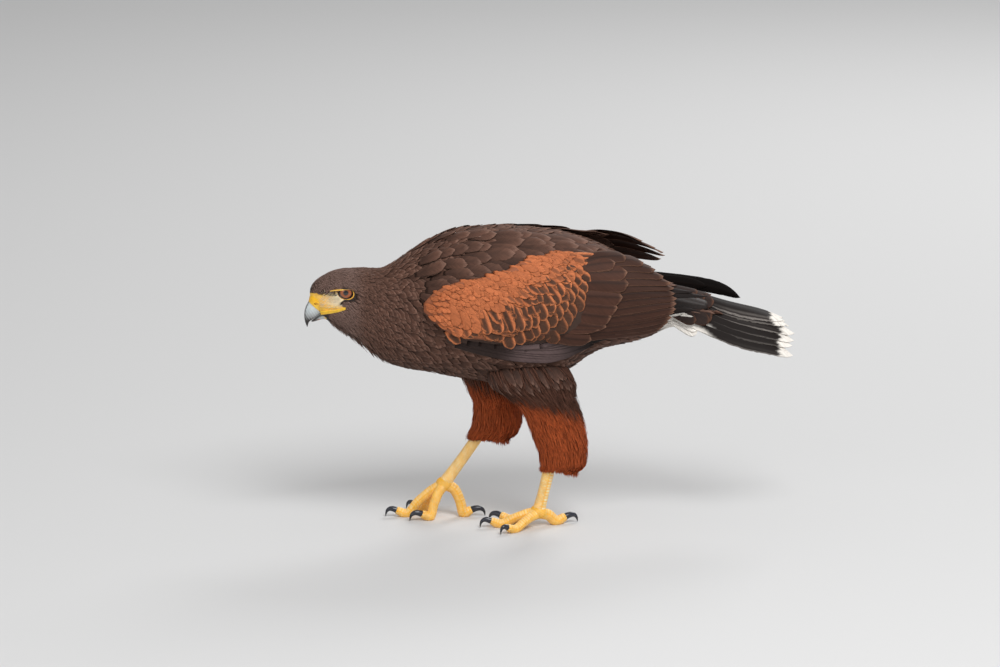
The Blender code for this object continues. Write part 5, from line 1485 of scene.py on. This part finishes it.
@dataclass
class HeadParts:
    """Eyes, lids, brows, cere, bill, mouth and the hairs of the lores."""

    eye_radius: float = 10.0
    iris: float = 6.1
    pupil: float = 2.6
    bill: Stations = (
        (-242.6, 255, -236.4, 235.6, 10.2), (-248.4, 253.2, -237.2, 233.6, 9.2), (-251.4, 248, -238, 232, 8.4),
        (-252.6, 243, -239, 230.8, 7.7), (-255.2, 237.8, -243, 227.6, 6.7), (-256.8, 232.6, -247, 224.6, 5.4),
        (-257.2, 227.5, -250.6, 222.2, 4.1), (-256.7, 222.5, -252.6, 219.8, 2.8), (-255.5, 218.3, -253.4, 217.2, 1.6),
        (-254.4, 215.6, -253.9, 215.4, 0.5))
    mandible: Stations = (
        (-232, 230.8, -232, 223.6, 8), (-237.5, 230, -237.5, 223.6, 6.8), (-243, 226.7, -242.6, 222.6, 5.4),
        (-247, 223.8, -246.4, 221.4, 3.8), (-249.8, 221.8, -249.4, 220.8, 1.8))
    cere_end: float = 3.0
    nostril: tuple[float, float] = (-245, 241.6)
    gape: Stations = ((-240, 232.8), (-231.9, 234.6), (-223, 236.8), (-215.5, 239.6))
    tongue: Stations = (
        (-247, 0, 227.3, 1.4), (-243.5, 0, 229.4, 3.4), (-238.5, 0, 231.2, 4.6), (-233, 0, 231.4, 5.2))
    brow: Stations = ((-231, 256.6), (-226, 257.9), (-219, 258.9), (-212, 259.4), (-205.5, 258.6))

    @staticmethod
    def head_y(x: Array, z: Array) -> Array:
        """Give the half width of the head at a side-view place."""
        return np.abs(FORM.head(x, FORM.head_turn(x, z))[..., 1])

    def leaf(self, stations: Stations, first: float, last: float, count: int, sides: int,
             fullness: tuple[float, float] = (1, 1)) -> Array:
        """Carry a section along a bill; its reach is a power of the cosine for the ridge and for the edge."""
        table = np.array(stations, dtype=float)
        where = np.linspace(first, last, count)
        ridge_x, ridge_z, edge_x, edge_z, width = (cubic(np.arange(len(table)), column, where) for column in table.T)
        middle = stack((ridge_x + edge_x) / 2, 0, (ridge_z + edge_z) / 2)
        spoke = stack((ridge_x - edge_x) / 2, 0, (ridge_z - edge_z) / 2)
        turn = around(sides)
        reach = np.cos(turn)
        reach = np.sign(reach) * np.abs(reach) ** np.where(reach > 0, fullness[0], fullness[1])
        across = stack(0, np.sin(turn) * width[:, None], 0)
        return middle[:, None] + reach[None, :, None] * spoke[:, None] + across

    def eyes(self, shop: Workshop) -> None:
        """Make each eyeball with rings crowded on the iris, which rises a little as the cornea does."""
        for side in Side:
            axis = unit(np.array((-0.10, side.value * 0.985, 0.06)))
            level = unit(np.cross(axis, (0, 0, 1)))
            upright = np.cross(level, axis)
            polar = np.concatenate([np.linspace(0.02, 0.9, 70), np.linspace(0.95, 3.1, 26)])[:, None, None]
            turn = around(96)[None, :, None]
            radius = self.eye_radius + 0.25 * np.exp(-(polar / 0.6) ** 4)
            rim = np.cos(turn) * level + np.sin(turn) * upright
            centre = np.array(EYE_CENTRE) * (1.0, side.value, 1.0)
            grid = centre + radius * (np.cos(polar) * axis + np.sin(polar) * rim)

            def paint(places: Array, centre: Array = centre, axis: Array = axis, level: Array = level,
                      upright: Array = upright) -> Array:
                away = places - centre
                off = np.linalg.norm(away - (away @ axis)[:, None] * axis, axis=1)
                off = np.where(away @ axis > 0, off, 10)
                spin = np.arctan2(away @ upright, away @ level)
                rays = 0.5 + 0.5 * np.sin(34 * spin + 3 * np.sin(5 * spin)) * ramp(1.6, 3.4, off)
                ring = ramp(2.4, 4.2, off)
                iris = mix(Ink.iris, Ink.iris_ray, 0.35 * rays + 0.5 * ring)
                # Darker towards the top: painted shadow cast by the brow.
                iris = mix(iris, Ink.iris_shadow, 0.7 * ramp(1, 5, away @ upright))
                iris = mix(iris, Ink.iris_rim, ramp(self.iris - 0.9, self.iris, off))
                iris = mix(iris, Ink.pupil, ramp(self.pupil + 0.22, self.pupil - 0.22, off))
                return mix(iris, Ink.eyeball, ramp(self.iris, self.iris + 0.5, off))

            shop.solid("eyeball_%s" % side.word, [grid], paint, Finishes.EYE, "eye_%s" % side.word)

    def ring_line(self, side: Side, scale: float, sink: float) -> Array:
        """Give the almond round the eye on the head's surface, scaled about the eye's middle."""
        turn = around(72)
        over_x = np.cos(turn) * np.where(np.cos(turn) < 0, EYE_FRONT, EYE_REAR) * scale
        over_z = np.sin(turn) * np.where(np.sin(turn) > 0, EYE_TOP, EYE_LOW) * scale
        over_z = over_z - EYE_SLOPE * over_x * (over_x > 0)
        x, z = EYE_CENTRE[0] + over_x, EYE_CENTRE[2] + over_z
        ball = 1 - (over_x ** 2 + over_z ** 2) / self.eye_radius ** 2
        ball = EYE_CENTRE[1] + self.eye_radius * np.sqrt(np.clip(ball, 0, 1))
        return stack(x, side.value * (np.maximum(self.head_y(x, z) - 1.4, ball) - sink), z)

    def closed_ring(self, line: Array, radius: float) -> Array:
        """Carry a round section along a closed line, as rings of spokes (ring, side, 3)."""
        tangent = unit(np.roll(line, -1, axis=0) - np.roll(line, 1, axis=0))
        return line[:, None] + ring_section(unit(np.cross(tangent, (0, 1, 0))), tangent, 10) * radius

    def lids(self, shop: Workshop) -> None:
        """Make the yellow rim round each eye, darkened along its top as painted shadow under the brow, and the dark
        edge of the lids inside it.
        """
        def rim_paint(places: Array) -> Array:
            # The rim darkens along its top: painted shadow under the brow.
            return mix(Ink.lid, Ink.lid_shadow, ramp(257.6, 259.4, places[:, 2]))

        for side in Side:
            for name, scale, sink, radius, paint in (("lid_rim", 0.97, 0.2, 0.8, rim_paint),
                                                     ("lid_edge", 0.86, -0.1, 0.5, plain(Ink.lid_edge))):
                grid = self.closed_ring(self.ring_line(side, scale, sink), radius)
                rings, sides = grid.shape[:2]
                faces = quads(np.pad(np.arange(rings * sides).reshape(rings, sides), (0, 1), "wrap"))[:, [0, 3, 2, 1]]
                flat = grid.reshape(-1, 3)
                piece = place_mesh("%s_%s" % (name, side.word), flat, faced_out(flat, faces), shop.shift)
                set_colour(piece, paint(flat))
                shop.settle(piece, Finishes.SKIN)

    def brows(self, shop: Workshop) -> None:
        """Make the bare yellow ridge that overhangs each eye."""
        def paint(places: Array) -> Array:
            return mix(Ink.brow, Ink.brow_rear, ramp(-218, -210, places[:, 0]))

        x, z = path_points(self.brow, 40).T
        share = np.linspace(0, 1, 40)
        crest = np.sin(share * math.pi)
        for side in Side:
            path = stack(x, side.value * (self.head_y(x, z) + 0.3 + 0.9 * crest), z)
            radius = 0.3 + 0.6 * crest ** 0.6 * (1 - 0.3 * share)
            shop.solid("brow_%s" % side.word, [rounded_tube(path, radius, 12)], paint, Finishes.SKIN)

    def from_nostril(self, x: Array, z: Array) -> Array:
        """Give how far out of the nostril a place lies: 1 on its border, less inside."""
        return np.sqrt(((x - self.nostril[0]) / 2) ** 2 + ((z - self.nostril[1]) / 1.25) ** 2)

    def build_cere(self, shop: Workshop) -> None:
        """Make the cere with a nostril pressed into each side."""
        grid = self.leaf(self.bill, 0, self.cere_end - 0.02, 64, 96)
        hole, y = self.from_nostril(grid[..., 0], grid[..., 2]), grid[..., 1]
        pull = ramp(1.15, 0.7, hole) * 2.2 - 0.35 * np.exp(-((hole - 1.45) / 0.4) ** 2)
        grid[..., 1] = y - np.sign(y) * pull * np.clip(np.abs(y) / 4, 0, 1)

        def paint(places: Array) -> Array:
            x, _, z = places.T
            body = mix(Ink.cere, Ink.cere_low, ramp(246, 234, z))
            # The dark nostril is painted shade standing in for its opening.
            return mix(body, Ink.nostril, ramp(1.05, 0.75, self.from_nostril(x, z)))

        shop.solid("cere_skin", [grid], paint, Finishes.CERE, "cere")

    def build_horn(self, shop: Workshop) -> None:
        """Make the hooked upper bill and the lower one: pale blue grey with a dark ridge and tip."""
        def upper_paint(places: Array) -> Array:
            x, y, z = places[:, 0], np.abs(places[:, 1]), places[:, 2]
            streak = 1.2 * np.sin(2.1 * x + 1.3 * z)
            tip = ramp(231, 224, z + 0.45 * y + streak)
            ridge = ramp(4.2, 1.6, y + 0.3 * streak) * ramp(-249.5, -253.5, x)
            base = mix(Ink.horn, Ink.horn_low, ramp(237, 226, z + streak))
            return mix(base, Ink.horn_tip, np.clip(tip + 0.8 * ridge, 0, 1))

        def lower_paint(places: Array) -> Array:
            x, _, z = places.T
            base = mix(Ink.jaw, Ink.jaw_front, ramp(-234, -238, x))
            base = mix(base, Ink.jaw_joint, np.exp(-((x + 241.5) / 2) ** 2) * ramp(225.5, 223.5, z))
            return mix(base, Ink.jaw_tip, ramp(-240, -246, x))

        upper = self.leaf(self.bill, self.cere_end + 0.02, len(self.bill) - 1, 90, 64, (1, 0.6))
        lower = self.leaf(self.mandible, 0, len(self.mandible) - 1, 48, 40, (0.6, 1))
        shop.solid("bill_upper_horn", [upper], upper_paint, Finishes.HORN, "bill_upper")
        shop.solid("bill_lower_horn", [lower], lower_paint, Finishes.HORN, "bill_lower")

    def mouth(self, shop: Workshop) -> None:
        """Make the yellow corner of the mouth on each side and the edge of the tongue between the bills."""
        x, z = path_points(self.gape, 40).T
        share = np.linspace(0, 1, 40)
        radius = 1.3 - 0.35 * share
        for side in Side:
            path = stack(x, side.value * (self.head_y(x, z) - 0.15), z)
            low = path + stack(0.2, -0.2 * side.value, -1.9 + 0.7 * share)
            tubes = [rounded_tube(path, radius, 12), rounded_tube(low, 0.8 * radius, 12)]
            shop.solid("mouth_corner_%s" % side.word, tubes, plain(Ink.mouth), Finishes.SKIN)
        path = path_points(self.tongue, 30)
        shop.solid("tongue", [rounded_tube(path[:, :3], path[:, 3], 24, 0.32)], plain(Ink.tongue), Finishes.SKIN)

    def hairs(self, shop: Workshop) -> None:
        """Set thin pale hairs on the lores, fanned up and back from the bill, and darker ones over them."""
        rng = np.random.default_rng(SEED + 60)
        sets = []
        for count, colour, low, high, long in ((230, Ink.cream, 236, 254, 5.6), (260, Ink.dark, 251, 258, 4.6)):
            x, z = rng.uniform(-242, -221, count), rng.uniform(low, high, count)
            keep = (Markings.bare(x, z) > 0.55) & (Markings.almond(x, z) > 1.2)
            x, z = x[keep], z[keep]
            number = len(x)
            side = rng.choice((-1, 1), number)
            heading = -side * rng.normal(0.55, 0.3, number)
            heights = stack(-0.4, rng.uniform(0.5, 1.6, number))
            length = long * rng.uniform(0.6, 1.3, number)
            sets.append((lay_feathers(TRUNK, stack(x, FORM.head_turn(x, z) * side), heading, length,
                                      np.full(number, 0.17), heights, Kind.DOWNY, rng), lambda _, ink=colour: ink))
        shop.coat("lore_hairs", sets, Finishes.COAT)

    def build(self, shop: Workshop) -> None:
        """Build every part of the head that is not feathered skin."""
        for step in (self.eyes, self.lids, self.brows, self.build_cere, self.build_horn, self.mouth, self.hairs):
            step(shop)


@dataclass
class Leg:
    """One shank with its toes and claws: (x, y, z, radius) along each."""

    side: Side
    shank: Stations
    toes: dict[str, Stations]
    claw_length: dict[str, float] = field(
        default_factory=lambda: {"middle": 15.5, "inner": 17.5, "outer": 13, "hind": 19})
    claw_tip_z: float = 0.7
    plate: float = 3.3

    def scaled(self, stations: Stations, count: int, sides: int, plates: float, floor: bool) -> tuple[Array, Array]:
        """Carry a scaly tube along stations and give its colours, ring by ring, with one more for each end.

        Across the front the plates are bands, raised as the root of a sine along the path. On the other
        sides small scales are the product of two slanted sines. Under the toes the floor flattens them.
        Plates are cream in the middle and deep yellow in the seams between them. The front is where the
        section faces forwards on a shank and upwards on a toe.
        """
        path = path_points(stations, count)
        run = run_along(np.linalg.norm(np.diff(path[:, :3], axis=0), axis=1))
        grid = rounded_tube(path[:, :3], path[:, 3], sides)
        reach = np.pad(run, 3, mode="edge")[:, None]
        turn = around(sides)[None, :]
        bands = np.abs(np.sin(math.pi * reach / plates + 0.5 * np.sin(2 * turn))) ** 0.5
        fine = math.pi * reach / (0.6 * plates)
        small = np.abs(np.sin(fine + 3 * turn) * np.sin(fine - 3 * turn)) ** 0.4
        steep = abs(path[-1, 2] - path[0, 2]) > np.linalg.norm(path[-1, :2] - path[0, :2])
        front = ramp(-0.1, 0.5, np.cos(turn - (0 if steep else math.pi / 2)))
        height = 0.42 * bands * front + 0.34 * small * (1 - front)
        grid = grid + unit(grid - grid.mean(axis=1, keepdims=True)) * (height - 0.3)[..., None]
        if floor:
            grid[..., 2] = np.maximum(grid[..., 2], 0)
        worn = 0.5 + 0.5 * np.sin(0.37 * reach + 1.7 * turn) * np.sin(0.9 * reach - 2 * turn)
        pale = ramp(0.35, 0.85, np.maximum(bands * front, small * (1 - front))) * (0.55 + 0.45 * worn)
        return grid, self.tinted(pale * (0.55 if floor else 1))

    @staticmethod
    def tinted(pale: Array) -> Array:
        """Turn the paleness of a grid's places into a colour for each vertex, with one more for each end."""
        return np.concatenate([mix(Ink.leg, Ink.scute, pale).reshape(-1, 3), np.tile(Ink.leg, (2, 1))])

    def claw(self, name: str) -> Array:
        """Give one hooked claw: it arches up from its toe's end and curves down to the floor."""
        stations = np.array(self.toes[name])
        end, before = stations[-1], stations[-2]
        lead = (end[:2] - before[:2]) / np.linalg.norm(end[:2] - before[:2])
        path = path_points(self.toes[name], 9)
        base = end[:3] + unit(path[-1, :3] - path[-2, :3]) * CLAW_GAP_MM
        share = np.linspace(0, 1, 40)
        forward = self.claw_length[name] * 0.8 * np.sin(share * math.pi / 2)
        height = base[2] + 3.2 * np.sin(share * math.pi) - (end[2] - self.claw_tip_z) * share ** 2
        line = stack(base[0] + lead[0] * forward, base[1] + lead[1] * forward, height)
        radius = end[3] * along(((0, 0.82), (0.35, 0.64), (0.7, 0.38), (1, 0.08)), share)
        grid = rounded_tube(line, radius, 28)
        grid[..., 2] = np.maximum(grid[..., 2], 0.05)
        return grid

    @staticmethod
    def paint_claw(places: Array) -> Array:
        """Colour the claws: dark slate, a little paler at the root."""
        return mix(Ink.claw, Ink.claw_tip, ramp(9, 3, places[:, 2]))

    def ball(self) -> tuple[Array, Array]:
        """Give the scaly ball of the foot, where the toes meet, and its colours."""
        polar, turn = np.meshgrid(np.linspace(0.04, math.pi - 0.04, 40), around(60), indexing="ij")
        ball = stack(np.sin(polar) * np.cos(turn), np.sin(polar) * np.sin(turn), np.cos(polar))
        scales = np.abs(np.sin(7 * turn + 9 * polar) * np.sin(7 * turn - 9 * polar)) ** 0.4 * np.sin(polar)
        ball = ball * (1.0 + 0.045 * scales[..., None]) * (np.array((9.2, 8.6, 7.8)) - 0.3)
        return np.array(self.shank[-1][:3]) + ball, self.tinted(0.35 * ramp(0.4, 0.95, scales))

    def build(self, shop: Workshop) -> None:
        """Build shank, ball, toes and claws."""
        word = self.side.word
        made = [self.scaled(self.shank, 120, 48, self.plate, False)]
        made += [self.scaled(stations, 80, 40, 0.85 * self.plate, True) for stations in self.toes.values()]
        made.append(self.ball())
        colours = np.concatenate([colour for _, colour in made])
        shop.solid("leg_%s" % word, [grid for grid, _ in made], lambda _: colours, Finishes.LEG, "foot_%s" % word)
        for name in self.toes:
            shop.solid("talon_%s_%s" % (word, name), [self.claw(name)], self.paint_claw, Finishes.CLAW,
                       "claw_%s_%s" % (word, name))


LEGS = (
    Leg(Side.LEFT, (
        (1.5, -27.5, 78, 5), (-2.3, -26, 62, 6.4), (-7, -23.5, 40, 6), (-11.5, -21.3, 21, 6.7),
        (-13, -21, 15.5, 7.4)), {
        "middle": (
            (-13, -21, 14.5, 6.4), (-25, -21.5, 13, 5.5), (-40, -22, 8.5, 5), (-52, -22.5, 3.2, 5.1),
            (-62, -23, 6.6, 4.2)),
        "inner": (
            (-13, -21, 14.5, 6.4), (-23, -14.5, 12, 5.4), (-33, -9, 7, 5), (-41.5, -4.5, 3.2, 5.2),
            (-49.5, -1.2, 6.6, 4.4)),
        "outer": (
            (-13, -21, 14.5, 6.4), (-22, -29, 11.8, 5.2), (-31, -37, 7.2, 4.7), (-39.5, -44, 2.9, 4.8),
            (-47, -49.3, 6, 4)),
        "hind": ((-13, -21, 14.5, 6.4), (-3, -18.5, 11.5, 5.8), (7, -15.5, 3.6, 5.6), (15, -13, 6.6, 4.6))}),
    Leg(Side.RIGHT, (
        (-61, 28, 103, 5), (-72.5, 27, 86.9, 6), (-90, 26.5, 62, 6), (-104.5, 26.5, 42, 6.7),
        (-108.5, 27, 36, 7.4)), {
        "middle": (
            (-108.5, 27, 35.5, 6.4), (-121, 28, 29, 5.4), (-135, 29, 17.5, 5), (-148.5, 29.6, 3.2, 5.1),
            (-158, 30, 6.6, 4.2)),
        "inner": (
            (-108.5, 27, 35.5, 6.4), (-114.5, 21, 29, 5.4), (-120, 17, 17, 5), (-125, 14, 3.2, 5.2),
            (-132.5, 12.4, 6.6, 4.4)),
        "outer": (
            (-108.5, 27, 35.5, 6.4), (-115, 35.5, 29.5, 5.2), (-122.5, 43, 18, 4.7), (-130, 49.5, 2.9, 4.8),
            (-137.5, 54.5, 6, 4)),
        "hind": (
            (-108.5, 27, 35.5, 6.4), (-98.5, 26.5, 30, 5.8), (-92, 26, 17, 5.4), (-88, 25.5, 3.3, 5.5),
            (-81, 25, 6.6, 4.6))}),
)


class Studio:
    """Floor, lights and camera."""

    @staticmethod
    def place(name: str, data: bpy.types.ID, spot: Array = (0, 0, 0), target: Array | None = None) -> Piece:
        """Add an object to the scene, turned so that its -Z faces a target if one is given."""
        item = bpy.data.objects.new(name, data)
        item.location = spot
        if target is not None:
            item.rotation_euler = (Vector(target) - Vector(spot)).to_track_quat("-Z", "Y").to_euler()
        bpy.context.scene.collection.objects.link(item)
        return item

    def floor(self, shade: float) -> None:
        """Lay a plain pale floor."""
        mesh = bpy.data.meshes.new("studio_floor")
        corners = [(x * FLOOR_HALF, y * FLOOR_HALF, 0) for x, y in ((-1, -1), (1, -1), (1, 1), (-1, 1))]
        mesh.from_pydata(corners, [], [(0, 1, 2, 3)])
        material = bpy.data.materials.new("Studio floor")
        material.use_nodes = True
        shader = material.node_tree.nodes["Principled BSDF"]
        shader.inputs["Base Color"].default_value = (shade, shade, shade, 1)
        shader.inputs["Roughness"].default_value = 0.9
        mesh.materials.append(material)
        floor = self.place("studio_floor", mesh)

    def camera(self) -> None:
        """Set the camera on the photo's bearing, with the lens that gives its scale at the bird."""
        azimuth, elevation = math.radians(CAMERA_AZIMUTH), math.radians(CAMERA_ELEVATION)
        away = np.array((-math.sin(azimuth) * math.cos(elevation), -math.cos(azimuth) * math.cos(elevation),
                         math.sin(elevation)))
        data = bpy.data.cameras.new("photo_camera")
        data.sensor_width = SENSOR_MM
        data.lens = SENSOR_MM * CAMERA_DISTANCE / (PHOTO_WIDTH * PHOTO_PIXEL_MM * MM)
        data.clip_end = 100
        target = np.array(PHOTO_CENTRE_MM) * MM
        bpy.context.scene.camera = self.place("photo_camera", data, target + away * CAMERA_DISTANCE, target)

    def build(self) -> None:
        """Build the whole set."""
        self.floor(0.66)
        for name, spot, size, watts in (("key", (0.7, -2, 2.7), 1.6, 75), ("fill", (-2.2, -2.2, 1.4), 2, 10),
                                        ("rim", (1.4, 2.4, 2.2), 1.4, 40)):
            data = bpy.data.lights.new(name, "AREA")
            data.size, data.energy = size, watts
            self.place(name, data, spot, (-0.03, 0, 0.2))
        world = bpy.data.worlds.new("studio")
        world.use_nodes = True
        sky = world.node_tree.nodes["Background"]
        sky.inputs["Color"].default_value = (1, 1, 1, 1)
        sky.inputs["Strength"].default_value = 0.42
        bpy.context.scene.world = world
        bpy.context.scene.view_settings.view_transform = "Standard"
        self.camera()


def frame_shift() -> Array:
    """Give the move from the form's own origin to the frame's, in millimetres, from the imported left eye."""
    low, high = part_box("eye_left")
    middle = (np.array(low) + np.array(high)) / 2.0 / MM
    return middle - np.array(EYE_CENTRE) * (1.0, Side.LEFT.value, 1.0)


def main() -> None:
    logging.basicConfig(level=logging.INFO, format="%(message)s")
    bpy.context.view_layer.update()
    effects = SharedEffects()
    shop = Workshop(frame_shift(), {finish: finish.value.build(effects) for finish in Finishes})
    LOG.info("shift %s", np.round(shop.shift, 3))
    Studio().build()
    Skin().build(shop)
    TrunkCoat().build(shop)
    for wing in WINGS:
        wing.build(shop)
        Scapulars(wing.side).build(shop)
    Tail().build(shop)
    for form in THIGHS:
        Trousers(form).build(shop)
    HeadParts().build(shop)
    for leg in LEGS:
        leg.build(shop)
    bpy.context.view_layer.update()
    faces = sum(len(item.data.polygons) for item in bpy.data.objects if item.type == "MESH")
    LOG.info("%d faces in all", faces)


if __name__ == "__main__":
    main()
